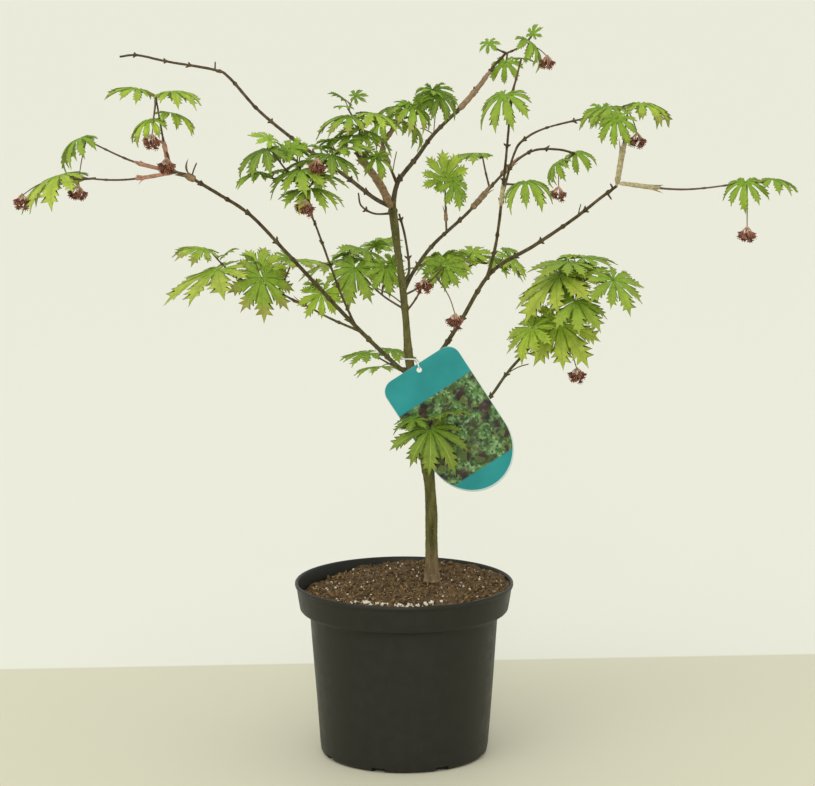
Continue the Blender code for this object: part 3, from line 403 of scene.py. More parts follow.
# Short dead stubs and petioles on limbs: way, share, heading, rise in degrees, length, thickness
STUBS = [
    ("bough_left", 0.975, 60, 55, 17, 0.8), ("bough_left", 0.93, 330, -25, 9, 1.1),
    ("bough_bare", 0.714, 0, 88, 9, 0.9), ("bough_top_right", 0.457, 20, 84, 37, 0.5),
    ("bough_top_right", 0.457, 160, 22, 16, 0.6), ("shoot_top_middle", 0.3, 20, 78, 22, 0.5),
    ("bough_right", 0.839, 30, 74, 12, 0.6), ("bough_right", 0.985, 200, 60, 6, 1.0),
    ("bough_right", 0.96, 330, -50, 8, 1.0), ("bough_low_right", 0.714, 10, 22, 25, 0.6),
    ("trunk", 0.734, 170, 30, 33, 0.7), ("trunk", 0.36, 190, 60, 7, 2.2),
    ("bough_right", 0.251, 300, 40, 6, 1.2), ("bough_right", 0.225, 120, 20, 6, 1.0),
]

# Small leaves on finer twigs, for each shoot of a spray
FINER = {"foliage_front_left": 4, "foliage_top_left": 3, "foliage_top_middle": 2, "foliage_low_right": 3,
         "foliage_low_left": 1, "foliage_behind_left": 1, "foliage_behind_right": 1}
# How far a bunch of blossom hangs in front of its shoot's own place and below it, to clear the leaves
CLEARED = {("foliage_far_left", 0): (57.0, 16.0), ("foliage_far_left", 2): (26.0, 3.0),
           ("foliage_front_left", 0): (32.0, 0.0), ("foliage_right_back", 1): (22.0, 0.0)}
# Shares of bright, green, deep and bronze leaves in a spray, and of leaves with bronze tips. The share of
# bright leaves is partly painted light: a spray that hangs under-lit and in shade gets more of them, in place
# of the light it lacks.
TINTS_AND_PAINTED_LIGHT = {
    "foliage_far_left": (0.6, 0.4, 0.0, 0.0, 0.1), "foliage_low_left": (0.5, 0.5, 0.0, 0.0, 0.3),
    "foliage_front_left": (0.2, 0.6, 0.2, 0.0, 0.2), "foliage_behind_left": (0.2, 0.7, 0.1, 0.0, 0.2),
    "foliage_low_behind": (0.3, 0.7, 0.0, 0.0, 0.1), "foliage_top_left": (0.2, 0.5, 0.2, 0.1, 0.3),
    "foliage_top_middle": (0.2, 0.6, 0.1, 0.1, 0.3), "foliage_top_right": (0.2, 0.7, 0.1, 0.0, 0.1),
    "foliage_front_right": (0.2, 0.8, 0.0, 0.0, 0.2), "foliage_inner_right": (0.3, 0.7, 0.0, 0.0, 0.1),
    "foliage_back_right": (0.3, 0.7, 0.0, 0.0, 0.2), "foliage_hanging_right": (0.2, 0.8, 0.0, 0.0, 0.1),
    "foliage_right_back": (0.2, 0.7, 0.1, 0.0, 0.1), "foliage_behind_right": (0.2, 0.7, 0.1, 0.0, 0.1),
    "foliage_far_right": (0.3, 0.7, 0.0, 0.0, 0.2), "foliage_mid_right": (0.3, 0.7, 0.0, 0.0, 0.1),
    "foliage_low_right": (0.5, 0.5, 0.0, 0.0, 0.2), "foliage_front_low": (0.0, 0.0, 1.0, 0.0, 0.0),
    "blossom_low": (0.2, 0.8, 0.0, 0.0, 0.0),
}

LIMB_GROUPS = {
    "bark_left": ("bough_left", "twig_front_left", "twig_low_left", "bough_bare"),
    "bark_top": ("bough_top_right", "shoot_top_left", "shoot_top_middle", "stem_second", "twig_hooked"),
    "bark_right": ("bough_right_back", "bough_right", "shoot_right", "twig_right", "bough_low_right"),
}
# How many of the masses, in their order, are joined in each piece of leaves
LEAF_GROUPS = {"leaves_left": 5, "leaves_top": 6, "leaves_right": 6, "leaves_low": 2}


# Numbers and surfaces

def unit(vector):
    """A vector made one long."""
    return vector / np.linalg.norm(vector)


def full_turn(count):
    """Evenly spread angles of one whole turn."""
    return np.arange(count) * math.tau / count


def about_z(radius, turn, height=0.0):
    """Places round the Z axis: (radius cos turn, radius sin turn, height)."""
    radius, turn, height = np.broadcast_arrays(radius, turn, height)
    return np.stack([radius * np.cos(turn), radius * np.sin(turn), height], -1)


def spoke(turn, aside, other):
    """A direction that turns from aside towards other."""
    return math.cos(turn) * aside + math.sin(turn) * other


def noise(points, cell, seed):
    """Smooth noise from -1 to 1: hashed values at the corners of a lattice of cells, eased between."""
    place = points / cell
    base = np.floor(place).astype(np.int64)
    share = place - base
    share = share * share * (3 - 2 * share)
    total = np.zeros(len(points))
    for corner in range(8):
        bits = np.array([corner & 1, corner >> 1 & 1, corner >> 2 & 1])
        x, y, z = (base + bits).T
        mixed = (x * 73856093) ^ (y * 19349663) ^ (z * 83492791) ^ (seed * 97531)
        mixed = (mixed ^ (mixed >> 13)) * 1274126177
        value = ((mixed ^ (mixed >> 16)) & 0xFFFF) / 32767.5 - 1
        total += np.prod(np.where(bits, share, 1 - share), axis=1) * value
    return total


def grid_faces(rows, columns, ring=False):
    """Two triangles for each cell of a grid of points, whose columns may close into a ring."""
    row, column = np.meshgrid(np.arange(rows - 1), np.arange(columns - (not ring)), indexing="ij")
    after = (column + 1) % columns
    a, b = row * columns + column, row * columns + after
    c, d = a + columns, b + columns
    return np.stack([a, b, d, a, d, c], -1).reshape(-1, 3)


def ring_faces(rows, columns):
    """Faces of rings of points closed by a pole at each end: the poles are the last two points."""
    column = np.arange(columns)
    after = (column + 1) % columns
    foot, tip = rows * columns, rows * columns + 1
    low = np.stack([np.full(columns, foot), after, column], 1)
    high = np.stack([np.full(columns, tip), column, after], 1) + [[0] + [(rows - 1) * columns] * 2]
    return np.vstack([grid_faces(rows, columns, True), low, high])


def frames(way):
    """Two normals along a way, turned about the axis that the way follows least."""
    tangent = np.gradient(way, axis=0)
    tangent /= np.linalg.norm(tangent, axis=1, keepdims=True)
    axis = np.eye(3)[np.abs(tangent).max(0).argmin()]
    side = np.cross(tangent, axis)
    side /= np.linalg.norm(side, axis=1, keepdims=True)
    return side, np.cross(tangent, side)


def tube(way, radii, around):
    """A closed tube: rings a radius out from the way's middle line, with a pole at each end."""
    rows = len(way)
    side, up = frames(way)
    turn = full_turn(around)
    out = np.cos(turn)[:, None] * side[:, None] + np.sin(turn)[:, None] * up[:, None]
    reach = np.broadcast_to(np.reshape(radii, (-1, 1)) if np.ndim(radii) < 2 else radii, (rows, around))
    points = (way[:, None] + reach[..., None] * out).reshape(-1, 3)
    return np.vstack([points, way[:1], way[-1:]]), ring_faces(rows, around)


def taper(way, thick, thin, point=0.0):
    """Radii that fall evenly from thick to thin, and are rounded off over the last stretch."""
    along = shares(way)
    radii = thick + (thin - thick) * along
    if point:
        last = np.clip((1 - along) * way_length(way) / point, 0, 1)
        radii = radii * np.sqrt(np.clip(1 - (1 - last) ** 2, 0.01, 1))
    return radii


def blade(length, width, bend, hollow, thick=0.18, rows=8):
    """A pointed blade along X, with Z out of its upper face.

    Its half width is width/2 times sin(pi s^0.75). Its middle line is an arc that turns up by the bend in
    degrees, and it is hollowed across: its edges stand up by hollow times the half width.
    """
    s = np.linspace(0.04, 0.97, rows)
    across = np.array([1, 0.4, -0.4, -1, -0.4, 0.4])
    lift = np.array([0, 1, 1, 0, -1, -1]) * thick
    half = width / 2 * np.sin(np.pi * s**0.75)
    curve = math.radians(bend) or 1e-6
    x, z = length / curve * np.sin(curve * s), length / curve * (1 - np.cos(curve * s))
    y = half[:, None] * across
    high = hollow * half[:, None] * across**2 + lift * np.minimum(1, half / width * 3)[:, None]
    up = np.stack([-np.sin(curve * s), np.zeros(rows), np.cos(curve * s)], 1)
    points = np.stack([x, 0 * x, z], 1)[:, None] + np.array([0, 1, 0]) * y[..., None]
    points = (points + up[:, None] * high[..., None]).reshape(-1, 3)
    tip = [length / curve * math.sin(curve), 0, length / curve * (1 - math.cos(curve))]
    return np.vstack([points, [[0, 0, 0]], [tip]]), ring_faces(rows, 6)


def turned_to(points, along, up):
    """Points placed with X along a direction and Z as near to up as it can be."""
    x = unit(along)
    y = np.cross(up, x)
    y /= max(np.linalg.norm(y), 1e-9)
    return points @ np.stack([x, y, np.cross(x, y)])


def placed(name, data):
    """A new object in the scene."""
    made = bpy.data.objects.new(name, data)
    bpy.context.scene.collection.objects.link(made)
    return made


def simple_mesh(name, points, faces):
    """A mesh in metres from points in millimetres and faces."""
    mesh = bpy.data.meshes.new(name)
    mesh.from_pydata((points * MM).tolist(), [], faces.tolist())
    return mesh


class Heap:
    """Small surfaces in millimetres, gathered and then made into one mesh object in metres."""

    def __init__(self):
        self.points, self.faces, self.slots, self.uvs, self.count = [], [], [], [], 0

    def add(self, surface, slot=0, uv=None):
        points, faces = surface
        self.points.append(points)
        self.faces.append(faces + self.count)
        self.slots.append(np.broadcast_to(slot, len(faces)))
        self.uvs.append(np.zeros((len(points), 2)) if uv is None else uv)
        self.count += len(points)

    def make(self, name, materials, slot, nodes=()):
        """The object, riding on the body and standing for the nodes. Its slot is not used."""
        if not self.count:
            raise RuntimeError(f"{name} has no surfaces")
        points, faces = np.vstack(self.points) * MM, np.vstack(self.faces)
        mesh = bpy.data.meshes.new(name)
        mesh.vertices.add(len(points))
        mesh.vertices.foreach_set("co", points.astype(np.float32).ravel())
        mesh.loops.add(faces.size)
        mesh.loops.foreach_set("vertex_index", faces.astype(np.int32).ravel())
        mesh.polygons.add(len(faces))
        mesh.polygons.foreach_set("loop_start", np.arange(0, faces.size, 3, dtype=np.int32))
        mesh.polygons.foreach_set("material_index", np.concatenate(self.slots).astype(np.int32))
        mesh.update(calc_edges=True)
        mesh.shade_smooth()
        layer = mesh.uv_layers.new(name="UVMap")
        layer.data.foreach_set("uv", np.vstack(self.uvs)[faces.ravel()].astype(np.float32).ravel())
        for material in materials:
            mesh.materials.append(material)
        piece = placed(name, mesh)
        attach(piece, "root")
        if nodes:
            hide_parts(*nodes)
        return piece


# Materials

def put(tree, socket, value):
    """Another node's socket is linked to this one, and any other value is set on it."""
    if isinstance(value, bpy.types.NodeSocket):
        tree.links.new(value, socket)
    else:
        socket.default_value = (*value, 1) if socket.type == "RGBA" else value


def node(tree, kind, **values):
    """A shader node, its properties and its inputs set by name, with _ for a space."""
    made = tree.nodes.new(kind)
    for key, value in values.items():
        socket = made.inputs.get(key.replace("_", " "))
        if socket is None:
            setattr(made, key, value)
        else:
            put(tree, socket, value)
    return made


def start_material(name):
    """A new material, its tree and its Principled shader."""
    found = bpy.data.materials.new(name)
    found.use_nodes = True
    tree = found.node_tree
    return found, tree, tree.nodes["Principled BSDF"]


def dress(tree, shader, color, rough, specular):
    """The shader's colour and roughness, from sockets or as set, and how much it shines head on."""
    put(tree, shader.inputs["Base Color"], color)
    put(tree, shader.inputs["Roughness"], rough)
    shader.inputs["Specular IOR Level"].default_value = specular


def toned(color, share, more=0.0):
    """A colour multiplied by a share, or by a share for each of its parts."""
    return tuple(min(1.0, c * k + more) for c, k in zip(color, np.broadcast_to(share, 3).tolist()))


def coordinates(tree, stretch=(1, 1, 1), turn=0.0):
    """Object coordinates, stretched and turned about Z by an angle in radians."""
    place = node(tree, "ShaderNodeTexCoord").outputs["Object"]
    laid = node(tree, "ShaderNodeMapping", Vector=place, Scale=stretch, Rotation=(0, 0, turn))
    return laid.outputs["Vector"]


def surface_map(tree):
    """The surface's own map, in metres."""
    return node(tree, "ShaderNodeUVMap", uv_map="UVMap").outputs["UV"]


def split(tree, vector):
    """A vector's X, Y and Z, by name."""
    return node(tree, "ShaderNodeSeparateXYZ", Vector=vector).outputs


def worked(tree, operation, *values):
    """The result of an operation on values and sockets."""
    made = node(tree, "ShaderNodeMath", operation=operation)
    for socket, value in zip(made.inputs, values):
        put(tree, socket, value)
    return made.outputs["Value"]


def grain(tree, size, detail=4.0, stretch=(1, 1, 1), rough=0.55):
    """Noise on Object coordinates whose grains are about a size across, in millimetres."""
    return node(tree, "ShaderNodeTexNoise", Vector=coordinates(tree, stretch), Scale=1 / (size * MM),
                Detail=detail, Roughness=rough).outputs["Fac"]


def ramp(tree, value, stops):
    """Colours dealt out along a value: (place, colour) pairs."""
    made = node(tree, "ShaderNodeValToRGB", Fac=value)
    band = made.color_ramp
    while len(band.elements) < len(stops):
        band.elements.new(0.5)
    for element, (place, color) in zip(band.elements, stops):
        element.position = place
        element.color = (*color, 1)
    return made.outputs["Color"]


def rises(tree, shader, value, depth, strength=1.0):
    """Bump from a value, as deep as a number of millimetres."""
    bump = node(tree, "ShaderNodeBump", Height=value, Strength=strength, Distance=depth * MM)
    put(tree, shader.inputs["Normal"], bump.outputs["Normal"])


def between(tree, value, low, high, start=0.3, end=0.7):
    """A number that goes from low to high as a value goes from start to end."""
    return node(tree, "ShaderNodeMapRange", Value=value, From_Min=start, From_Max=end, To_Min=low,
                To_Max=high).outputs["Result"]


def mixed(tree, factor, first, second):
    """One colour laid over another by a factor."""
    made = node(tree, "ShaderNodeMix", data_type="RGBA")
    factors, firsts, seconds, result = made.inputs["Factor"], made.inputs[6], made.inputs[7], made.outputs[2]
    for socket, value in ((factors, factor), (firsts, first), (seconds, second)):
        put(tree, socket, value)
    return result


def mottled(name, color, size, spread=0.25, rough=0.5, bump=0.1, stretch=(1, 1, 1)):
    """A finish whose colour wanders a little round its own, with a fine rise and an uneven gloss."""
    made, tree, shader = start_material(name)
    value = grain(tree, size, stretch=stretch)
    dark, light = toned(color, 1 - spread), toned(color, 1 + spread)
    tone = ramp(tree, value, [(0.3, dark), (0.5, color), (0.72, light)])
    dress(tree, shader, tone, between(tree, value, rough + 0.08, rough - 0.08), 0.3)
    rises(tree, shader, grain(tree, size * 0.3, stretch=stretch), bump, 0.6)
    return made


def leafy(name, color):
    """A leaf's finish: mottled, deeper near its hub, with soft side veins on the lobe's map in V after V."""
    made, tree, shader = start_material(name)
    parts = split(tree, surface_map(tree))
    slanted = worked(tree, "MULTIPLY_ADD", worked(tree, "ABSOLUTE", parts["Y"]), VEIN_SLANT, parts["X"])
    line = node(tree, "ShaderNodeCombineXYZ", X=slanted).outputs["Vector"]
    veins = node(tree, "ShaderNodeTexWave", wave_type="BANDS", bands_direction="X", Vector=line,
                 Scale=VEINS_PER_METRE, Distortion=0.0).outputs["Fac"]
    patches = grain(tree, 9)
    tones = []
    for share in (HUB_TONE, EDGE_TONE):
        plain = np.array(color) * share
        tones.append(ramp(tree, patches, [(0.32, plain * 0.80), (0.5, plain), (0.70, plain * 1.25)]))
    tone = mixed(tree, between(tree, parts["X"], 0, 1, 0.008, 0.036), *tones)
    veined = mixed(tree, between(tree, veins, 0, 0.5, 0.8, 1.0), tone, toned(color, 1.18, 0.01))
    dress(tree, shader, veined, between(tree, patches, 0.66, 0.52), 0.25)
    rises(tree, shader, veins, 0.12, 0.5)
    return made


def bark(name, low, high, span, scars):
    """Bark that turns from one colour to another over a span of height, streaked along it and speckled."""
    made, tree, shader = start_material(name)
    streaks = grain(tree, 5, 6, (1, 1, 0.22), 0.65)
    height = between(tree, split(tree, coordinates(tree))["Z"], 0, 1, span[0] * MM, span[1] * MM)
    tones = [ramp(tree, streaks, [(0.32, toned(color, 0.45)), (0.5, color), (0.68, toned(color, 1.5))])
             for color in (low, high)]
    specks = node(tree, "ShaderNodeTexVoronoi", Vector=coordinates(tree, (1, 1, 1.8)), Scale=1 / (4.5 * MM))
    dots = between(tree, specks.outputs["Distance"], 0.75, 0, 0.10, 0.22)
    color = mixed(tree, dots, mixed(tree, height, *tones), scars)
    dress(tree, shader, color, between(tree, streaks, 0.8, 0.55), 0.2)
    rises(tree, shader, streaks, 0.35, 0.7)
    return made


def pot_plastic(color):
    """Black plastic with a faint haze, and paler scuffs that run down it."""
    made, tree, shader = start_material("pot_plastic")
    haze = grain(tree, 12, 6)
    tone = ramp(tree, haze, [(0.38, color), (0.72, toned(color, 1.25, 0.001))])
    worn = between(tree, grain(tree, 3.0, 6, (1, 1, 0.15)), 0, 0.5, 0.64, 0.76)
    dress(tree, shader, mixed(tree, worn, tone, SCUFF_COLOR), between(tree, haze, 0.40, 0.54), 0.3)
    rises(tree, shader, grain(tree, 1.2, 3), 0.05, 0.35)
    return made


def label_print(ground):
    """Glossy print laid out on the label's own map: plain ends, and leafy blots between them."""
    made, tree, shader = start_material("label_print")
    flat = surface_map(tree)

    def blots(size):
        found = node(tree, "ShaderNodeTexVoronoi", Vector=flat, Scale=1 / (size * MM), Randomness=1.0)
        return node(tree, "ShaderNodeSeparateColor", Color=found.outputs["Color"]).outputs

    def clouds(size, detail):
        found = node(tree, "ShaderNodeTexNoise", Vector=flat, Scale=1 / (size * MM), Detail=detail)
        return found.outputs["Fac"]

    darks, greens = ramp(tree, blots(6.5)["Green"], PRINT_DARKS), ramp(tree, blots(2.6)["Red"], PRINT_GREENS)
    leaves = mixed(tree, between(tree, clouds(14, 3.0), 0, 1, 0.42, 0.58), greens, darks)
    down = split(tree, flat)["Y"]
    top = between(tree, down, 1, 0, (PRINT_FROM - 1) * MM, (PRINT_FROM + 1) * MM)
    foot = between(tree, down, 0, 1, (PRINT_TO - 1) * MM, (PRINT_TO + 1) * MM)
    plain = ramp(tree, clouds(40, 2.0), [(0.35, ground), (0.7, toned(ground, 1.25, 0.01))])
    dress(tree, shader, mixed(tree, worked(tree, "MAXIMUM", top, foot), leaves, plain), 0.28, 0.3)
    shader.inputs["Coat Weight"].default_value = 0.08
    shader.inputs["Coat Roughness"].default_value = 0.15
    return made


def floor_paint(near, far):
    """Matt paint whose tone changes along a straight line behind the pot."""
    made, tree, shader = start_material("floor_paint")
    back = split(tree, coordinates(tree, turn=-math.radians(BACK_TURN)))["Y"]
    behind = between(tree, back, 0, 1, (BACK_LINE - BACK_SOFT) * MM, (BACK_LINE + BACK_SOFT) * MM)
    put(tree, shader.inputs["Base Color"], mixed(tree, behind, tuple(near), tuple(far)))
    shader.inputs["Roughness"].default_value = 0.7
    return made


# How the plant grows: the same rule as the part's, so that each leaf grows where its solid is

def smooth_way(places, step):
    """Points about a step apart on the Catmull-Rom curve through the places, both in millimetres."""
    p = np.asarray(places, float)
    p = np.vstack([2 * p[0] - p[1], p, 2 * p[-1] - p[-2]])
    out = []
    for a, b, c, d in zip(p, p[1:], p[2:], p[3:]):
        pieces = max(1, round(float(np.linalg.norm(c - b)) / step))
        t = np.linspace(0, 1, pieces, endpoint=False)[:, None]
        out.append(0.5 * (2 * b + (c - a) * t + (2 * a - 5 * b + 4 * c - d) * t**2
                          + (3 * b - a - 3 * c + d) * t**3))
    return np.vstack(out + [p[-2:-1]])


def shares(way):
    """How far along a way each of its points is, from 0 to 1."""
    run = np.concatenate([[0], np.cumsum(np.linalg.norm(np.diff(way, axis=0), axis=1))])
    return run / run[-1]


def way_length(way):
    """A way's whole length."""
    return float(np.linalg.norm(np.diff(way, axis=0), axis=1).sum())


def place_at(way, share):
    """The place at a share of a way's length."""
    along = shares(way)
    return np.array([np.interp(share, along, way[:, k]) for k in range(3)])


def foot_on(way, height):
    """The place on a limb's middle line at a height."""
    order = np.argsort(way[:, 2])
    return np.array([np.interp(height, way[order, 2], way[order, k]) for k in range(3)])


def shoot_places(start, tip):
    """A shoot's way goes through these: it leaves level and turns up towards its tip."""
    return [start, (start + tip) / 2 - np.array([0, 0, 0.05 * np.linalg.norm(tip - start)]), tip]


def leaf_outline(size):
    """The lobes of one leaf as (turn, length) pairs: the middle lobe is longest, the outer ones short."""
    count = LOBES_LARGE if size >= LARGE_LEAF else LOBES_SMALL
    turns = np.radians(np.linspace(-FAN, FAN, count))
    lengths = size * (1 - 0.5 * np.abs(turns / math.radians(FAN)) ** 1.7)
    return turns, lengths


def domed(turn, r, lift, size, curl):
    """Points of a blade bent to a dome without stretching.

    A place r out goes to size/curl * sin(curl * r/size) out and size/curl * (1 - cos(curl * r/size)) down,
    and the lift is laid off along the dome's own normal.
    """
    bend = curl * r / size
    out, down = size / curl * np.sin(bend), size / curl * (1 - np.cos(bend))
    up = np.stack([np.sin(bend) * np.cos(turn), np.sin(bend) * np.sin(turn), np.cos(bend)], -1)
    return np.stack([out * np.cos(turn), out * np.sin(turn), -down], -1) + up * lift[..., None]


def plain_blade(size, curl):
    """The part's own plain leaf, which the rule tests for touching: corners and faces about the hub."""
    turns, lengths = leaf_outline(size)
    half_step = (turns[1] - turns[0]) / 2
    wide = math.atan2(SHOULDER_WIDTH, SHOULDER)
    flat, rim = [(0, 0), (0, 0), (math.pi, 0.07 * size)], [2]
    for turn, length in zip(turns, lengths):
        rim += range(len(flat), len(flat) + 4)
        flat += [(turn - wide, SHOULDER * length), (turn, length), (turn + wide, SHOULDER * length),
                 (turn + half_step, NOTCH * size)]
    flat.pop()
    rim[-1] = 2
    faces = [(0, a, b) for a, b in zip(rim, rim[1:])] + [(1, b, a) for a, b in zip(rim, rim[1:])]
    lift = np.zeros(len(flat))
    lift[:2] = BLADE_THICKNESS / 2, -BLADE_THICKNESS / 2
    turn, r = np.array(flat).T
    return domed(turn, r, lift, size, curl), faces


def leaf_frame(heading, pitch, roll):
    """Axes of a leaf: along its middle lobe, across it, and out of its upper face."""
    h, p, r = np.radians([heading, pitch, roll])
    along = np.array([math.cos(h) * math.cos(p), math.sin(h) * math.cos(p), -math.sin(p)])
    level = np.array([-math.sin(h), math.cos(h), 0])
    face = np.cross(along, level)
    across = math.cos(r) * level + math.sin(r) * face
    return np.stack([along, across, np.cross(along, across)])


def rise(heading, angle):
    """The direction with a heading about Z and an angle above level, both in degrees."""
    h, a = np.radians([heading, angle])
    return np.array([math.cos(h) * math.cos(a), math.sin(h) * math.cos(a), math.sin(a)])


Leaf = namedtuple("Leaf", "node hub frame size curl")
Growth = namedtuple("Growth", "ways leaves blossoms")


def leaf_tries(shoot, way, number, rng):
    """Places for one leaf of a shoot, each a little further from where the rule first puts it."""
    pair, side = divmod(number, 2)
    start = place_at(way, 0.97 - PAIR_STEP / way_length(way) * pair)
    size = shoot.size * (1 + rng.uniform(-0.07, 0.07))
    for astray in np.linspace(0.2, 1.0, TRIES):
        heading = shoot.heading + PAIR_TURN * pair + 180 * side + astray * rng.uniform(-50, 50)
        pitch = shoot.pitch + astray * rng.uniform(-28, 28)
        stalk = shoot.stalk * (1 + astray * rng.uniform(-0.4, 0.8))
        hub = start + stalk * rise(heading, STALK_RISE + astray * rng.uniform(-40, 40))
        yield Leaf(start, hub, leaf_frame(heading, pitch, astray * rng.uniform(-30, 30)), size, shoot.curl)


def settle(tries, foot, reach, guards, others):
    """The first try within reach of the mass's foot that meets no guard and no other leaf, or None."""
    for leaf in tries:
        corners, faces = plain_blade(leaf.size, leaf.curl)
        corners = corners @ leaf.frame + leaf.hub
        if np.linalg.norm(corners - foot, axis=1).max() > reach:
            continue
        tree = BVHTree.FromPolygons((corners * MM).tolist(), faces)
        if not any(tree.overlap(other) for other in guards + others):
            others.append(tree)
            return leaf
    return None


def finer_leaves(mass, ways, foot, guards, others):
    """Small young leaves on short side twigs near each shoot's end, within the mass's reach."""
    rng, found = np.random.default_rng(mass.seed + 500), []
    for shoot, way in zip(mass.shoots, ways):
        for _ in range(FINER.get(mass.name, 0) if shoot.leaves else 0):
            start, tries = place_at(way, rng.uniform(0.7, 0.98)), []
            for _ in range(8):
                heading = rng.uniform(0, 360)
                hub = start + rng.uniform(6, 15) * rise(heading, rng.uniform(10, 75))
                axes = leaf_frame(heading, rng.uniform(-65, 5), rng.uniform(-40, 40))
                tries.append(Leaf(start, hub, axes, max(14.0, shoot.size * rng.uniform(0.38, 0.62)), 0.5))
            leaf = settle(tries, foot, mass.reach, guards, others)
            if leaf:
                found.append(leaf)
    return found


def node_tree_of(name):
    """A search tree over a frame node's triangles."""
    mesh = frame["nodes"][name].data
    return BVHTree.FromPolygons([v.co.copy() for v in mesh.vertices], [f.vertices[:] for f in mesh.polygons])


@functools.lru_cache(maxsize=None)
def limb_ways(step):
    """Every limb's middle line, with points about a step apart, or as far apart as the part's own."""
    coarse = {"trunk": smooth_way(TRUNK_WAY, TRUNK_STEP)}
    ways = {"trunk": smooth_way(TRUNK_WAY, step or TRUNK_STEP)}
    for limb in LIMBS:
        places = [foot_on(coarse[limb.parent], limb.height)] + limb.way
        coarse[limb.name] = smooth_way(places, LIMB_STEP)
        ways[limb.name] = smooth_way(places, step or LIMB_STEP)
    return ways


def bunch_place(mass, shoot, way):
    """Where a shoot's bunch hangs: out and down from its tip, and cleared of leaves towards the camera."""
    out, down = shoot.blossom
    low = way[-1] + out * rise(shoot.heading, 0) - np.array([0, 0, down])
    eye = np.array(CAMERA_PLACE) - low
    forward, drop = CLEARED.get((mass.name, mass.shoots.index(shoot)), (0, 0))
    return low + forward * eye / np.linalg.norm(eye) - np.array([0, 0, drop])


@functools.lru_cache(maxsize=None)
def growth():
    """Shoots, leaves and blossom of every mass, by the part's rule and seeds."""
    limbs = limb_ways(0)
    guards = [node_tree_of(n) for n in ["pot", "potting_mix", "plant_label", "label_tie", *limbs]]
    grown = {}
    for mass in MASSES:
        rng = np.random.default_rng(mass.seed)
        limb = limbs[mass.limb]
        foot = limb[-1] if mass.height is None else foot_on(limb, mass.height)
        ways, leaves, blossoms, others = [], [], [], []
        for shoot in mass.shoots:
            start = foot if shoot.after is None else place_at(ways[shoot.after], shoot.share)
            ways.append(smooth_way(shoot_places(start, np.array(shoot.tip, float)), SHOOT_STEP))
        for shoot, way in zip(mass.shoots, ways):
            for number in range(shoot.leaves):
                leaf = settle(leaf_tries(shoot, way, number, rng), foot, mass.reach, guards, others)
                if leaf:
                    leaves.append(leaf)
            if shoot.blossom:
                blossoms.append((place_at(way, 0.98), bunch_place(mass, shoot, way)))
        leaves += finer_leaves(mass, ways, foot, guards, others)
        grown[mass.name] = Growth([shoot_places(w[0], w[-1]) for w in ways], leaves, blossoms)
        guards.append(node_tree_of(mass.name))
    return grown


@functools.lru_cache(maxsize=None)
def any_way(name):
    """A limb's fine middle line by its name, or a mass's shoot's by the mass's name and its number."""
    if name in limb_ways(CLASP_STEP):
        return limb_ways(CLASP_STEP)[name]
    mass, number = name.split(".")
    return smooth_way(growth()[mass].ways[int(number)], CLASP_STEP)


# Surfaces of the plant

def bark_tube(way, radii, around, relief, seed, joints=()):
    """A limb with bark: a tube whose radius carries ridges that run along it, and swellings at its joints.

    The ridges are noise on (r cos a, r sin a, s/4), and a joint adds a narrow bump exp(-(d/1.7)^2) and a
    fine groove beyond it, with d the distance along the limb in millimetres.
    """
    run = shares(way) * way_length(way)
    turn = full_turn(around)
    radii = np.asarray(radii)[:, None] * np.ones(around)
    unrolled = np.stack([radii * np.cos(turn), radii * np.sin(turn), run[:, None] / 4 + 0 * radii], -1)
    ridges = noise(unrolled.reshape(-1, 3), 1.3, seed) + 0.6 * noise(unrolled.reshape(-1, 3), 0.55, seed + 7)
    lumps = noise(unrolled.reshape(-1, 3) * [1, 1, 0.8], 6.0, seed + 3)
    fine = relief * ridges.reshape(radii.shape) + 1.2 * relief * lumps.reshape(radii.shape)
    for place, swell in joints:
        d = run[:, None] - place
        fine = fine + swell * np.exp(-(d / 1.7) ** 2) - 0.25 * swell * np.exp(-((d - 3.2) / 0.8) ** 2)
    return tube(way, radii + fine, around)


def bud(place, along, length, width, rows=8):
    """A pointed bud: an egg whose half width is width/2 times sin(pi s^0.7)."""
    s = np.linspace(0.05, 0.98, rows)
    way = place + s[:, None] * length * along / np.linalg.norm(along)
    return tube(way, width / 2 * np.sin(np.pi * s**0.7) + 0.02, rows)


def lobe_rows(look, young, neck):
    """Rows of one lobe beyond its palm: share of its length, half width and forward lead of its edge.

    The half width is neck (1 - t) plus a bump t^rise (1 - t)^fall scaled to the lobe's width. From
    TEETH_FROM on, rows come in pairs: a tooth's tip, wider and led forwards, and the notch beyond it. A
    young leaf's lobes, with young going from 0 to 1, are narrower, widest further out and less toothed.
    """
    rise_by, fall_by = BUMP_RISE + 0.3 * young, BUMP_FALL - 0.2 * young
    peak = rise_by / (rise_by + fall_by)
    highest = peak**rise_by * (1 - peak) ** fall_by
    first, last = TEETH_FROM + 0.14 * young, TEETH_TO + 0.04 * young
    step = (last - first) / look.teeth
    plain = np.linspace(0.06, first, 5)
    tips = first + step * (np.arange(look.teeth) + 0.40)
    notches = first + step * (np.arange(look.teeth) + 1)
    beyond = last + (0.97 - last) * np.array([0.45, 0.80])
    t = np.concatenate([plain, np.stack([tips, notches], 1).ravel(), beyond])
    depth = look.tooth_depth * (1 - 0.3 * young) * np.linspace(0.7, 1.1, look.teeth)
    scale = np.concatenate([np.ones(5), np.stack([1 + depth, 1 - depth], 1).ravel(), [1 - depth[-1]] * 2])
    lead = np.concatenate([np.zeros(5), np.tile([0.57 * step, 0], look.teeth), [0, 0]])
    width = neck * (1 - t) + look.lobe_width * (1 - 0.12 * young) * t**rise_by * (1 - t) ** fall_by / highest
    return t, width * scale, lead


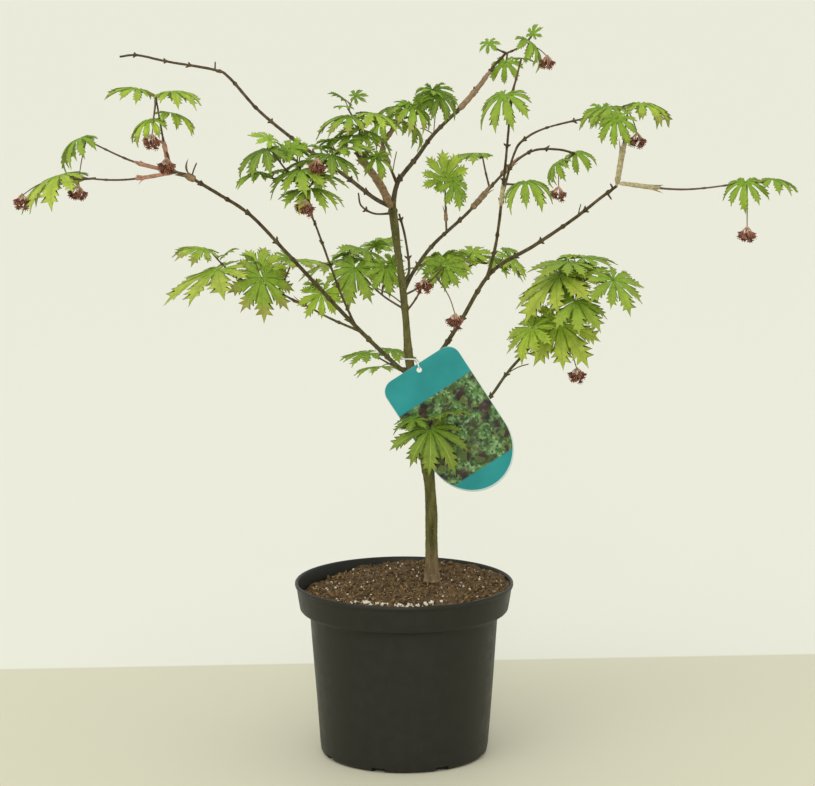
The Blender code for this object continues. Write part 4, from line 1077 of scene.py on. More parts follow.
def lobe_fan(leaf, lobes, rng):
    """Each lobe's turn from the middle one and its length, a little uneven, and half the step between two.

    A length is the leaf's size times 1 - 0.48 (turn / fan)^1.9.
    """
    turns = np.radians(np.linspace(-FAN, FAN, lobes))
    half_step = (turns[1] - turns[0]) / 2
    lengths = leaf.size * (1 - 0.48 * np.abs(turns / math.radians(FAN)) ** 1.9)
    lengths = lengths * rng.uniform(0.84, 1.08, lobes)
    return turns + rng.uniform(-0.06, 0.06, lobes), lengths, half_step


def lobe_droop(leaf, beyond, rng):
    """How far each lobe arches: a share of the leaf's size times the square of the share beyond its palm."""
    return -rng.uniform(-0.08, 0.26, (len(beyond), 1, 1)) * leaf.size * beyond**2


def lobe_lift(leaf, look, young, aside, beyond):
    """How far a lobe's places stand off a flat leaf by its thickness, its fold and its ripple.

    The fold rises with the distance aside, apart from the vein, and the ripple is sin(pi a) cos(34 b), with
    a the share of the half width and b the share beyond the palm.
    """
    wide = np.abs(SECTION_ASIDE)
    fold = (look.fold + 0.25 * young) * np.abs(aside) - 0.35 * (wide < 0.2)
    ripple = look.ripple * leaf.size * np.sin(np.pi * wide) * np.cos(beyond * 34) * (beyond > 0)
    return SECTION_RISE * HALF_BLADE + fold + ripple


def lobe_parts(rows):
    """For each face of a lobe its part: 0 upper face, 1 vein, 2 under face, 3 tip."""
    body = np.repeat(np.tile(SECTION_PARTS, rows - 1), 2)
    late = np.repeat(np.arange(rows - 1) >= rows - TIP_ROWS, 2 * len(SECTION_PARTS))
    ends = [SECTION_PARTS, np.where(SECTION_PARTS == 0, 3, SECTION_PARTS)]
    return np.concatenate([np.where(late & (body == 0), 3, body), *ends])


def leaf_surface(leaf, look, rng):
    """One leaf: a flattened ring of points carried along each lobe, then all the lobes domed as one blade.

    Returns its points and faces, the faces' parts, and for each point its place on the lobe in metres: how
    far from the hub, and from side to side. A curled or small leaf is young, from 0 to 1: more folded, with
    narrower lobes and a smaller palm.
    """
    young = float(np.clip(0.75 * (leaf.curl - 0.75) / 0.4 + 0.6 * (44 - leaf.size) / 20, 0, 1))
    lobes = FULL_LOBES if leaf.size >= FULL_LOBES_FROM else FULL_LOBES - 2
    turns, lengths, half_step = lobe_fan(leaf, lobes, rng)
    share = PALM_OLD + (PALM_YOUNG - PALM_OLD) * young
    palm = share * leaf.size
    t, wide, lead = lobe_rows(look, young, 0.9 * share * math.tan(half_step))
    early = np.array(PALM_ROWS) * palm
    x = np.hstack([np.tile(early, (lobes, 1)), palm + (lengths[:, None] - palm) * t])
    half = np.hstack([np.tile(early * math.tan(half_step), (lobes, 1)), lengths[:, None] * wide])
    half *= rng.uniform(0.88, 1.12, (lobes, 1))
    lead = np.hstack([np.zeros((lobes, len(early))), lengths[:, None] * lead])
    along = x[..., None] + lead[..., None] * np.abs(SECTION_ASIDE) ** 1.5
    aside = half[..., None] * SECTION_ASIDE
    places = np.stack([x[..., None] + 0 * along, aside], -1)
    beyond = np.clip((x - palm) / leaf.size, 0, 1)[..., None]
    droop = lobe_droop(leaf, beyond, rng)
    twist = rng.uniform(-0.5, 0.5, (lobes, 1, 1)) * aside * beyond * 1.6
    lift = lobe_lift(leaf, look, young, aside, beyond) + droop + twist
    sway = rng.uniform(-0.09, 0.09, (lobes, 1, 1)) * leaf.size * beyond**2
    aside = aside + sway
    turn = turns[:, None, None] + np.arctan2(aside, along)
    ring = domed(turn, np.hypot(along, aside), lift, leaf.size, leaf.curl).reshape(lobes, -1, 3)
    tip = domed(turns + sway[:, -1, 0] / lengths, lengths, droop[:, -1, 0], leaf.size, leaf.curl)
    points = np.hstack([ring, np.zeros((lobes, 1, 3)), tip[:, None]])
    faces = ring_faces(x.shape[1], len(SECTION_ASIDE))
    offsets = np.arange(lobes)[:, None, None] * points.shape[1]
    ends = np.zeros((lobes, 2, 2))
    ends[:, 1, 0] = lengths
    places = np.hstack([places.reshape(lobes, -1, 2), ends]).reshape(-1, 2) * MM
    world = points.reshape(-1, 3) @ leaf.frame + leaf.hub
    return world, (faces + offsets).reshape(-1, 3), np.tile(lobe_parts(x.shape[1]), lobes), places


def arched(start, end, sag):
    """A stalk's way from one place to another, its middle raised by the sag."""
    return smooth_way([start, (start + end) / 2 + np.array([0, 0, sag]), end], FINE_STEP)


def flower(heap, end, out, number, rng):
    """A flower at its stalk's end: a dark cup, petals that open down and out, and stamens in its middle."""
    face = unit(out - np.array([0, 0, 0.7]))
    aside = unit(np.cross(face, [0.3, 0.9, 0.2]))
    other = np.cross(face, aside)
    tone = 0 if rng.uniform() < 0.7 else 3
    heap.add(bud(end - 0.4 * face, face, 2.6, 2.4), tone)
    for petal in range(PETALS):
        open_out = spoke(math.tau * petal / PETALS + number, aside, other)
        points, faces = blade(rng.uniform(*PETAL_LENGTHS), PETAL_WIDTH, -30, 0.35, rows=5)
        points = turned_to(points, face + 0.85 * open_out, -open_out) + end - 0.5 * open_out
        heap.add((points, faces), tone)
    for stamen in range(STAMENS):
        along = face + 0.35 * spoke(math.tau * stamen / STAMENS + 0.4, aside, other)
        top = end + along * STAMEN_LENGTH
        heap.add(tube(np.array([end, (end + top) / 2, top]), STAMEN_RADIUS, 4), 1)
        heap.add(bud(top, along, 1.0, 0.9, 5), 2)


def flower_cluster(heap, low, rng, look):
    """A hanging bunch: stalks that spread from one place, each with a flower at its end.

    The flowers turn by the golden share from one to the next. Each stalk stands off the hanging line by the
    middle's spread plus more as the square root of its number grows, and is the shorter for it.
    """
    crown = low + np.array([0, 0, CROWN_UP])
    heap.add(bud(crown + [0, 0, 1.2], np.array([0, 0, -1.0]), 3.2, 2.6), 1)
    for number in range(look.flowers):
        turn = math.tau * (number * GOLDEN_TURN + rng.uniform(-0.05, 0.05))
        outer = math.sqrt((number + 0.5) / look.flowers)
        spread = math.radians(MIDDLE_SPREAD + OUTER_SPREAD * outer * rng.uniform(0.85, 1.1))
        out = about_z(math.sin(spread), turn, -math.cos(spread))
        length = (MIDDLE_STALK - OUTER_SHORTER * outer) * rng.uniform(0.85, 1.1)
        end = crown + out * length - np.array([0, 0, 1.5])
        heap.add(tube(arched(crown, end, 0.9), STALK_RADIUS, 6), 1)
        flower(heap, end, out, number, rng)


# Properties that a user may change

class PlantLook(bpy.types.PropertyGroup):
    relief: bpy.props.FloatProperty(name="Bark relief", description="Height of the bark's ridges, in mm",
                                    default=0.16, min=0.0, max=1.0)
    teeth: bpy.props.IntProperty(name="Teeth", description="Teeth on each side of a leaf's lobe",
                                 default=3, min=2, max=8)
    tooth_depth: bpy.props.FloatProperty(name="Tooth depth", description="Depth as a share of the width",
                                         default=0.40, min=0.0, max=0.6, subtype="FACTOR")
    lobe_width: bpy.props.FloatProperty(name="Lobe width", description="Half width as a share of length",
                                        default=0.098, min=0.03, max=0.3, subtype="FACTOR")
    fold: bpy.props.FloatProperty(name="Fold", description="How far a lobe folds up along its vein",
                                  default=0.22, min=0.0, max=1.0)
    ripple: bpy.props.FloatProperty(name="Ripple", description="Puckers between the side veins",
                                    default=0.006, min=0.0, max=0.05)
    flowers: bpy.props.IntProperty(name="Flowers", description="Flowers in each cluster",
                                   default=13, min=1, max=20)
    # The leaf colours are partly painted light: a little brighter, in place of the light that shines through
    # real leaves, and the bright one is also dealt out to under-lit sprays
    bright: bpy.props.FloatVectorProperty(name="Bright leaf", description="Colour of the youngest leaves",
                                          subtype="COLOR", default=(0.37, 0.46, 0.046))
    green: bpy.props.FloatVectorProperty(name="Green leaf", description="Colour of most leaves",
                                         subtype="COLOR", default=(0.270, 0.370, 0.036))
    deep: bpy.props.FloatVectorProperty(name="Deep leaf", description="Colour of leaves near the top",
                                        subtype="COLOR", default=(0.165, 0.235, 0.024))
    bronze: bpy.props.FloatVectorProperty(name="Bronze leaf", description="Colour of tinged leaves and tips",
                                          subtype="COLOR", default=(0.31, 0.32, 0.052))
    petal: bpy.props.FloatVectorProperty(name="Petal", description="Colour of the blossom",
                                         subtype="COLOR", default=(0.185, 0.050, 0.033))
    sheath: bpy.props.FloatVectorProperty(name="Bud sheath", description="Colour of the papery sheaths",
                                          subtype="COLOR", default=(0.45, 0.385, 0.225))


class PotLook(bpy.types.PropertyGroup):
    plastic: bpy.props.FloatVectorProperty(name="Plastic", description="Colour of the pot",
                                           subtype="COLOR", default=(0.013, 0.0135, 0.009))
    seam: bpy.props.FloatProperty(name="Seam", description="Height of the mould seams, in mm",
                                  default=0.35, min=0.0, max=1.0)
    soil: bpy.props.FloatVectorProperty(name="Mix", description="Colour of the potting mix",
                                        subtype="COLOR", default=(0.103, 0.063, 0.025))
    crumbs: bpy.props.IntProperty(name="Crumbs", description="Bark crumbs on the mix",
                                  default=2600, min=0, max=6000)
    perlite: bpy.props.IntProperty(name="Perlite", description="White granules on the mix",
                                   default=120, min=0, max=500)


class LabelLook(bpy.types.PropertyGroup):
    ground: bpy.props.FloatVectorProperty(name="Ends", description="Colour of the label's plain ends",
                                          subtype="COLOR", default=(0.008, 0.250, 0.255))
    rim: bpy.props.FloatVectorProperty(name="Rim", description="Colour of the label's cut edge",
                                       subtype="COLOR", default=(0.55, 0.66, 0.66))


class StageLook(bpy.types.PropertyGroup):
    floor: bpy.props.FloatVectorProperty(name="Floor", description="Colour of the floor",
                                         subtype="COLOR", default=(0.69, 0.67, 0.50))
    beyond: bpy.props.FloatVectorProperty(name="Beyond", description="Colour of the floor far behind",
                                          subtype="COLOR", default=(0.83, 0.83, 0.72))
    sky: bpy.props.FloatProperty(name="Sky", description="Strength of the light from all round",
                                 default=0.80, min=0.0, max=4.0)
    sun: bpy.props.FloatProperty(name="Key", description="Strength of the broad key light, in W/m2",
                                 default=0.9, min=0.0, max=20.0)


# Operators, one for each group of pieces

def pot_profile():
    """The pot's outline as (radius, height): out under its floor, up its outside and down its inside."""
    ledge = POT_HEIGHT - POT_RIM_BAND
    under = [(r, 0.0) for r in UNDER_RADII]
    a = np.linspace(0, np.pi / 2, FOOT_ROWS)
    foot = np.stack([POT_BASE_RADIUS - POT_CORNER * (1 - np.sin(a)), POT_CORNER * (1 - np.cos(a))], 1)
    slope = (POT_WALL_TOP_RADIUS - POT_BASE_RADIUS) / ledge
    z = np.linspace(POT_CORNER + 4, ledge - 6, WALL_ROWS)
    wall = np.stack([POT_BASE_RADIUS + slope * z, z], 1)
    band = [(POT_WALL_TOP_RADIUS + out, ledge + up) for out, up in WALL_TURN]
    band += [(POT_RIM_RADIUS - inward, ledge + up) for inward, up in RIM_OUTSIDE]
    band += [(POT_RIM_RADIUS - inward, POT_HEIGHT - down) for inward, down in RIM_LIP]
    band += [(POT_RIM_RADIUS - POT_WALL - inward, POT_HEIGHT - down) for inward, down in LIP_INSIDE]
    band += [(POT_RIM_RADIUS - POT_WALL - inward, ledge + up) for inward, up in RIM_INSIDE]
    inner = [(POT_WALL_TOP_RADIUS - POT_WALL, ledge + 1.2), (POT_WALL_TOP_RADIUS - POT_WALL - 0.8, ledge - 8),
             (POT_BASE_RADIUS - POT_WALL + 0.4, POT_FLOOR + 4), (POT_BASE_RADIUS - 8, POT_FLOOR)]
    return np.vstack([under, foot, wall, band, inner])


def pot_shell(seam):
    """The profile turned about Z, with its wall a little out of round and two seams down its outside."""
    profile, turn = pot_profile(), full_turn(POT_AROUND)
    seams = sum(np.exp(-((np.degrees(turn) - s + 180) % 360 - 180) ** 2 / 0.22) for s in POT_SEAM_TURNS)
    row = np.arange(len(profile)) - len(UNDER_RADII) - FOOT_ROWS
    outer = ((row >= 0) & (row < WALL_ROWS))[:, None]
    waves = 0.25 * np.sin(3 * turn[None] + profile[:, 1:] / 30) * outer
    ring = about_z(profile[:, :1] + waves + seam * seams * outer, turn, profile[:, 1:]).reshape(-1, 3)
    return np.vstack([ring, [[0, 0, 0], [0, 0, POT_FLOOR]]]), ring_faces(len(profile), POT_AROUND)


def drain_drills():
    """Upright rods where the drain holes cut the pot's foot."""
    for number in range(DRAIN_HOLES):
        foot = about_z(POT_BASE_RADIUS - 2, math.radians(DRAIN_FIRST_TURN + 360 / DRAIN_HOLES * number))
        yield tube(foot + np.array([0, 0, 1.0]) * np.linspace(-9, 5, 4)[:, None], DRAIN_RADIUS, 24)


class MAPLE_OT_pot(bpy.types.Operator):
    """Nursery pot: a turned shell with a banded rim, mould seams and drain holes"""
    bl_idname = "maple.pot"
    bl_label = "Pot"

    def execute(self, context):
        look = context.scene.pot_look
        heap, drills = Heap(), Heap()
        heap.add(pot_shell(look.seam))
        pot = heap.make("nursery_pot", [pot_plastic(look.plastic)], "pot_plastic", ["pot"])
        for drill in drain_drills():
            drills.add(drill)
        drill = placed("drills", simple_mesh("drills", np.vstack(drills.points), np.vstack(drills.faces)))
        cut = pot.modifiers.new("Drain", "BOOLEAN")
        cut.object = drill
        cut.solver = "EXACT"
        whole = bpy.data.meshes.new_from_object(pot.evaluated_get(context.evaluated_depsgraph_get()))
        pot.modifiers.clear()
        pot.data = whole
        whole.set_sharp_from_angle(angle=math.radians(50))
        bpy.data.objects.remove(drill, do_unlink=True)
        return {"FINISHED"}


def soil_height(x, y):
    """The mix's height: domed round the stem, lower by the wall, most so behind on the left."""
    out = np.clip(np.hypot(x, y) / (POT_RIM_RADIUS - 5), 0, 1)
    toward = np.clip(np.cos(np.arctan2(y, x) - math.radians(SOIL_SUNK_TURN)), 0, None)
    edge = POT_HEIGHT - SOIL_BELOW_RIM - SOIL_SUNK * toward**2.5
    ripple = SOIL_LUMPS * np.sin(x * 0.13 + 1) * np.cos(y * 0.17 - x * 0.06)
    return SOIL_AT_STEM + (edge - SOIL_AT_STEM) * out**2 + ripple * np.clip(out * 2, 0, 1)


def pebbles(places, sizes, squash, rng):
    """Rough grains: an octahedron's corners and edge middles, each pushed in or out, turned at random."""
    corners = np.array([[1, 0, 0], [0, 1, 0], [-1, 0, 0], [0, -1, 0], [0, 0, 1], [0, 0, -1]], float)
    middles = np.array([[1, 1, 0], [-1, 1, 0], [-1, -1, 0], [1, -1, 0]]) * 0.75
    base = np.vstack([corners, middles])
    rim = [0, 6, 1, 7, 2, 8, 3, 9]
    after = rim[1:] + rim[:1]
    faces = np.array([(4, a, b) for a, b in zip(rim, after)] + [(5, b, a) for a, b in zip(rim, after)])
    count = len(places)
    shape = base * rng.uniform(0.7, 1.3, (count, len(base), 1)) * squash
    turns = np.linalg.qr(rng.normal(size=(count, 3, 3)))[0]
    turns[np.linalg.det(turns) < 0, 0] *= -1
    points = (shape @ turns) * np.reshape(sizes, (-1, 1, 1)) + places[:, None]
    offsets = np.arange(count)[:, None, None] * len(base)
    return points.reshape(-1, 3), (faces + offsets).reshape(-1, 3)


def mix_surface():
    """The mix's top as rings out to the wall, each at its height plus noise, over a skirt tucked below."""
    share = np.sqrt(np.linspace(0.0008, 1, SOIL_ROWS))[:, None]
    flat = about_z(share * SOIL_REACH, full_turn(SOIL_AROUND)).reshape(-1, 3)
    high = soil_height(flat[:, 0], flat[:, 1]) + 1.1 * noise(flat, 7, 5) + 0.7 * noise(flat, 2.6, 9)
    wall = POT_RIM_RADIUS - POT_WALL - 5.6 + 3.6 * np.clip((high - 151) / 25, 0, 1)
    flat *= np.where(np.repeat(share[:, 0], SOIL_AROUND) > 0.97, wall / SOIL_REACH, 1)[:, None]
    ring = np.column_stack([flat[:, :2], high])
    skirt = ring[-SOIL_AROUND:] * [0.95, 0.95, 1] - [0, 0, 12]
    inward = ring[::-1].reshape(SOIL_ROWS, SOIL_AROUND, 3)[:, ::-1].reshape(-1, 3)
    points = np.vstack([skirt, inward, [[0, 0, 140]], [[0, 0, soil_height(0.0, 0.0)]]])
    return points, ring_faces(SOIL_ROWS + 1, SOIL_AROUND)


def bark_crumbs(count, small, large, rng):
    """Crumbs of bark all over the mix, apart from round the stem."""
    out = np.sqrt(rng.uniform(0, 1, count)) * (SOIL_REACH - 2.5)
    place = about_z(out, rng.uniform(0, math.tau, count))
    place = place[np.hypot(*(place[:, :2] - TRUNK_WAY[0][:2]).T) > STEM_CLEAR]
    size = rng.uniform(small, large, len(place))
    place[:, 2] = soil_height(*place[:, :2].T) + rng.uniform(-0.2, 1.0, len(place))
    return pebbles(place, size, CRUMB_SQUASH, rng)


def pale_grains(count, rng):
    """Pale grains, some strewn over the mix and some larger ones washed against the rim at the front."""
    drift = rng.uniform(0, 1, count) < DRIFT_SHARE
    turn = np.where(drift, rng.normal(DRIFT_TURN, 18, count), rng.uniform(0, 360, count))
    out = np.where(drift, rng.uniform(0.80, 0.94, count), np.sqrt(rng.uniform(0.1, 0.9, count)))
    place = about_z(SOIL_REACH * out, np.radians(turn))
    place[:, 2] = soil_height(*place[:, :2].T) + 1.0
    return pebbles(place, rng.uniform(0.5, 1.5, count) + 1.1 * drift, GRAIN_SQUASH, rng)


class MAPLE_OT_soil(bpy.types.Operator):
    """Potting mix: a lumpy surface with crumbs of bark and pale grains"""
    bl_idname = "maple.soil"
    bl_label = "Potting mix"

    def execute(self, context):
        look = context.scene.pot_look
        rng = np.random.default_rng(41)
        heap, crumbs, pale = Heap(), Heap(), Heap()
        heap.add(mix_surface())
        heap.make("mix_surface", [mottled("mix_ground", look.soil, 4, 0.5, 0.9, 0.8)], "potting_mix",
                  ["potting_mix"])
        tones = [mottled("crumb_dark", toned(look.soil, 0.8), 3, 0.5, 0.92, 0.3),
                 mottled("crumb_brown", toned(look.soil, 1.7), 3, 0.4, 0.9, 0.3),
                 mottled("crumb_tan", TAN_COLOR, 3, 0.35, 0.88, 0.3)]
        for kind, (share, small, large) in enumerate(CRUMB_SIZES):
            crumbs.add(bark_crumbs(int(look.crumbs * share), small, large, rng), kind)
        crumbs.make("mix_crumbs", tones, "potting_mix", ["potting_mix"])
        pale.add(pale_grains(look.perlite, rng))
        pale.make("mix_perlite", [mottled("perlite", GRAIN_COLOR, 1.5, 0.2, 0.85, 0.2)], "potting_mix",
                  ["potting_mix"])
        return {"FINISHED"}


def limb_joints(run, spacing, swell, rng):
    """Places of a limb's joints, about evenly apart, with their swelling in millimetres."""
    places = np.arange(spacing, run - 6, spacing)
    return [(p + rng.uniform(-5, 5), swell * rng.uniform(0.7, 1.2)) for p in places]


def bud_pair(heap, way, share, radius, rng):
    """Two small buds on opposite sides of a joint, leaning along the limb."""
    here = place_at(way, share)
    along = unit(place_at(way, min(1, share + 0.02)) - here)
    aside = unit(np.cross(along, rng.normal(size=3)))
    for side in (aside, -aside):
        heap.add(bud(here + side * radius * 0.75, along + 0.8 * side, rng.uniform(2.6, 4.4), 1.9))


def stubs(heap, names):
    """Short bare stubs and petioles that leave the named limbs."""
    for name, share, heading, angle, length, thick in STUBS:
        if name in names:
            start = place_at(any_way(name), share)
            way = arched(start, start + length * rise(heading, angle), 0.06 * length)
            heap.add(bark_tube(way, taper(way, thick, thick * 0.8, 1.0), 10, 0.03, 5))


def trunk(heap, relief):
    """The trunk: its radius by height, evened out over nine points, with its own joints."""
    way = limb_ways(BARK_STEP)["trunk"]
    radii = np.interp(way[:, 2], *zip(*TRUNK_RADII))
    radii = np.convolve(np.pad(radii, 4, "edge"), np.ones(9) / 9, "valid")
    joints = [(way_length(way) * share, swell) for share, swell in TRUNK_JOINTS]
    heap.add(bark_tube(way, radii * (1 + 0.02 * np.sin(way[:, 2] / 9)), 56, relief * 1.6, 1, joints))
    stubs(heap, ["trunk"])


def limb_surface(heap, limb, relief, seed, rng):
    """A bough or twig that is flared at its foot, with a pair of buds at each joint."""
    way = limb_ways(BARK_STEP)[limb.name]
    run = way_length(way)
    along = shares(way) * run
    radii = LIMB_SLIMNESS * (limb.thick + (limb.thin - limb.thick) * along / run)
    radii = radii + 0.45 * limb.thick * np.exp(-along / 5)
    joints = limb_joints(run, JOINTS_APART, 0.20 * limb.thick + 0.30, rng)
    heap.add(bark_tube(way, radii, 20, relief * 0.6, seed, joints))
    for place, swell in joints:
        bud_pair(heap, way, place / run, np.interp(place, along, radii) + swell, rng)


class MAPLE_OT_bark(bpy.types.Operator):
    """Trunk, boughs and twigs with their bark, joints, buds and dead stubs"""
    bl_idname = "maple.bark"
    bl_label = "Trunk and boughs"

    def execute(self, context):
        relief = context.scene.plant_look.relief
        stem = bark("trunk_bark", FOOT_BARK, STEM_BARK, FOOT_ENDS, STEM_SCARS)
        wood = bark("bough_bark", LOW_BARK, HIGH_BARK, CROWN_SPAN, BOUGH_SCARS)
        heap = Heap()
        trunk(heap, relief)
        heap.make("trunk_bark", [stem], "trunk_bark", ["trunk"])
        for group, names in LIMB_GROUPS.items():
            heap, rng = Heap(), np.random.default_rng(len(group))
            for number, limb in enumerate(item for item in LIMBS if item.name in names):
                limb_surface(heap, limb, relief, 20 + number, rng)
            stubs(heap, names)
            heap.make(group, [wood], "bough_bark", names)
        return {"FINISHED"}


def spray(heap, twigs, name, look):
    """One mass: its shoots with a joint at each pair, its leaves, each in its own tone, and their stalks."""
    rng = np.random.default_rng([len(name), ord(name[-1])])
    for places in growth()[name].ways:
        way = smooth_way(places, FINE_STEP)
        run = way_length(way)
        joints = [(run * 0.97 - PAIR_STEP * k, 0.35) for k in range(3) if run > PAIR_STEP * k]
        twigs.add(bark_tube(way, taper(way, 1.15, 0.75, 1.5), 10, 0.04, 3, joints))
    for leaf in growth()[name].leaves:
        points, faces, part, places = leaf_surface(leaf, look, rng)
        # A leaf's tone; a bright one is partly painted light on an under-lit spray
        tone = int(rng.choice(4, p=TINTS_AND_PAINTED_LIGHT[name][:4]))
        tip = 3 if rng.uniform() < TINTS_AND_PAINTED_LIGHT[name][4] else tone
        heap.add((points, faces), np.array([tone, 4, 5, tip])[part], places)
        hub = leaf.hub - 0.5 * leaf.frame[2]
        way = arched(leaf.node, hub, 0.10 * np.linalg.norm(hub - leaf.node))
        twigs.add(tube(way, taper(way, 0.62, 0.45), 8), 1)


class MAPLE_OT_foliage(bpy.types.Operator):
    """Young shoots, leaf stalks and toothed leaves, grown by the plant's rule"""
    bl_idname = "maple.foliage"
    bl_label = "Leaves"

    def execute(self, context):
        look = context.scene.plant_look
        tones = [leafy("leaf_bright", look.bright), leafy("leaf_green", look.green),
                 leafy("leaf_deep", look.deep), leafy("leaf_bronze", look.bronze),
                 mottled("leaf_vein", toned(look.green, 1, 0.006), 6, 0.1, 0.6, 0.05),
                 leafy("leaf_under", toned(look.green, 0.95, 0.02))]
        names, twigs = [mass.name for mass in MASSES], Heap()
        for group, count in LEAF_GROUPS.items():
            heap, group_names, names = Heap(), names[:count], names[count:]
            for name in group_names:
                spray(heap, twigs, name, look)
            heap.make(group, tones, "foliage", group_names)
        shoot = mottled("young_shoot", (0.105, 0.068, 0.034), 5, 0.35, 0.6, 0.15, (1, 1, 0.4))
        stalk = mottled("leaf_stalk", (0.20, 0.145, 0.055), 6, 0.3, 0.55, 0.05)
        twigs.make("shoots_and_stalks", [shoot, stalk], "foliage", [mass.name for mass in MASSES])
        return {"FINISHED"}


def sheath(heap, name, start, end, foot, mouth, tone, flare, rng):
    """A papery sleeve round part of a way, with three split scales that open at its mouth."""
    share = np.linspace(0, 1, SHEATH_ROWS)
    line = np.array([place_at(any_way(name), start + (end - start) * s) for s in share])
    radii = (foot + (mouth - foot) * share) * np.clip(1 - (2 * np.abs(share - 0.5)) ** 8, 0.4, 1)
    joints = [(s * way_length(line), 0.16 * foot) for s in (0.15, 0.45, 0.8)]
    heap.add(bark_tube(line, radii, 20, (0.09 + 0.03 * tone) * foot, 31 + tone, joints), tone)
    mouth_foot = line[-SHEATH_SPLIT]
    along = unit(line[-1] - mouth_foot)
    aside = unit(np.cross(along, rng.normal(size=3)))
    for number in range(3):
        side = spoke(math.tau * number / 3, aside, np.cross(along, aside))
        long, wide = rng.uniform(4.0, 7.5) * mouth, rng.uniform(1.0, 1.7) * mouth
        opened = flare * rng.uniform(0.4, 1.3)
        points, faces = blade(long, wide, -opened, 0.5, 0.16)
        lean = along + side * math.tan(math.radians(opened) / 2)
        heap.add((turned_to(points, lean, -side) + mouth_foot + side * mouth * 0.75, faces), tone)


class MAPLE_OT_sheaths(bpy.types.Operator):
    """Papery bud sheaths that clasp the young shoots in pairs"""
    bl_idname = "maple.sheaths"
    bl_label = "Bud sheaths"

    def execute(self, context):
        color = context.scene.plant_look.sheath
        heap, rng = Heap(), np.random.default_rng(17)
        for row in SHEATHS:
            sheath(heap, *row, rng)
        paper = [mottled("sheath_cream", color, 3, 0.45, 0.65, 0.1),
                 mottled("sheath_rosy", toned(color, (0.98, 0.60, 0.68)), 3, 0.4, 0.65, 0.1),
                 mottled("sheath_brown", toned(color, (0.56, 0.43, 0.38)), 3, 0.45, 0.65, 0.1)]
        heap.make("bud_sheaths", paper, "foliage")
        return {"FINISHED"}


class MAPLE_OT_blossom(bpy.types.Operator):
    """Hanging clusters of dark red blossom on long stalks"""
    bl_idname = "maple.blossom"
    bl_label = "Blossom"

    def execute(self, context):
        look = context.scene.plant_look
        heap, rng = Heap(), np.random.default_rng(23)
        for start, low in (place for grown in growth().values() for place in grown.blossoms):
            crown = low + np.array([0, 0, CROWN_UP - 1])
            reach = np.linalg.norm(crown - start)
            middle = (start + crown) / 2 + (crown - start) * [0.1, 0.1, 0] + [0, 0, 0.02 * reach]
            way = smooth_way([start, middle, crown], FINE_STEP)
            heap.add(tube(way, taper(way, 0.6, 0.5), 8), 4)
            flower_cluster(heap, low, rng, look)
        finishes = [mottled("petal", look.petal, 2, 0.35, 0.55, 0.05),
                    mottled("flower_stalk", (0.50, 0.31, 0.20), 5, 0.3, 0.55, 0.05),
                    mottled("anther", (0.34, 0.20, 0.085), 2, 0.2, 0.7, 0.05),
                    mottled("petal_faded", toned(look.petal, (1.75, 2.3, 2.2)), 2, 0.3, 0.55, 0.05),
                    mottled("blossom_stalk", (0.155, 0.105, 0.055), 5, 0.3, 0.55, 0.05)]
        heap.make("blossom_clusters", finishes, "foliage")
        return {"FINISHED"}


def label_axes():
    """The label's axes: along its top edge, down its length, and out of its front face."""
    tilt = math.radians(LABEL_TILT)
    along = np.array([math.cos(tilt), 0, math.sin(tilt)])
    return along, np.array([math.sin(tilt), 0, -math.cos(tilt)]), np.array([0.0, -1.0, 0.0])


def label_edge():
    """The label's edge about its hole: rounded top corners, straight sides and a half oval below."""
    half, top = LABEL_WIDTH / 2, -LABEL_HOLE_FROM_TOP
    arc = np.linspace(0, np.pi / 2, 24)
    right = np.stack([half - LABEL_CORNER * (1 - np.sin(arc)), top + LABEL_CORNER * (1 - np.cos(arc))], 1)
    low = top + LABEL_LENGTH - LABEL_OVAL
    top_edge = np.stack([np.linspace(0, right[0, 0], 30), np.full(30, top)], 1)
    side = np.stack([np.full(60, half), np.linspace(right[-1, 1], low, 60)], 1)
    turn = np.linspace(0, np.pi / 2, 60)
    oval = np.stack([half * np.cos(turn), low + LABEL_OVAL * np.sin(turn)], 1)
    edge = np.vstack([top_edge, right, side, oval])
    return np.vstack([edge, edge[::-1] * [-1, 1]])


def label_plate():
    """The label as rings about its hole that go out over its front to its edge and back behind, bowed.

    Its bow is LABEL_BOW (v/length)^2 cos(u/60) less half of (2u/width)^2, with u and v across and down it.
    """
    edge = label_edge()
    spin = np.arctan2(edge[:, 1], edge[:, 0])
    order = np.argsort(spin)
    turn = np.linspace(-np.pi, np.pi, LABEL_AROUND, endpoint=False)
    rim = np.interp(turn, spin[order], np.hypot(*edge[order].T), period=math.tau)
    face = np.linspace(0, 1, LABEL_RINGS) ** 1.2 * 0.985
    share = np.concatenate([face, [0.996, 1.0, 0.996], face[:0:-1]])
    half = LABEL_THICKNESS / 2
    edges = [half * 0.7, 0, -half * 0.7]
    lift = np.concatenate([np.full(len(face), half), edges, np.full(len(face) - 1, -half)])
    reach = LABEL_HOLE_RADIUS + share[:, None] * (rim - LABEL_HOLE_RADIUS)
    u, v = reach * np.cos(turn), reach * np.sin(turn)
    bow = LABEL_BOW * (v / LABEL_LENGTH) ** 2 * np.cos(u / 60) - 0.5 * (u / LABEL_WIDTH * 2) ** 2
    along, down, front = label_axes()
    high = lift[:, None] + bow
    points = np.array(LABEL_HOLE) + u[..., None] * along + v[..., None] * down + high[..., None] * front
    around = np.arange(LABEL_AROUND)
    after, last = np.roll(around, -1), (len(share) - 1) * LABEL_AROUND
    closing = [[around + last, after + last, after], [around + last, after, around]]
    faces = np.vstack([grid_faces(len(share), LABEL_AROUND, True), *np.stack(closing).transpose(0, 2, 1)])
    part = (np.arange(len(faces)) >= 2 * LABEL_AROUND * (LABEL_RINGS - 1)).astype(int)
    return (points.reshape(-1, 3), faces), part, np.stack([u.ravel(), v.ravel()], 1) * MM


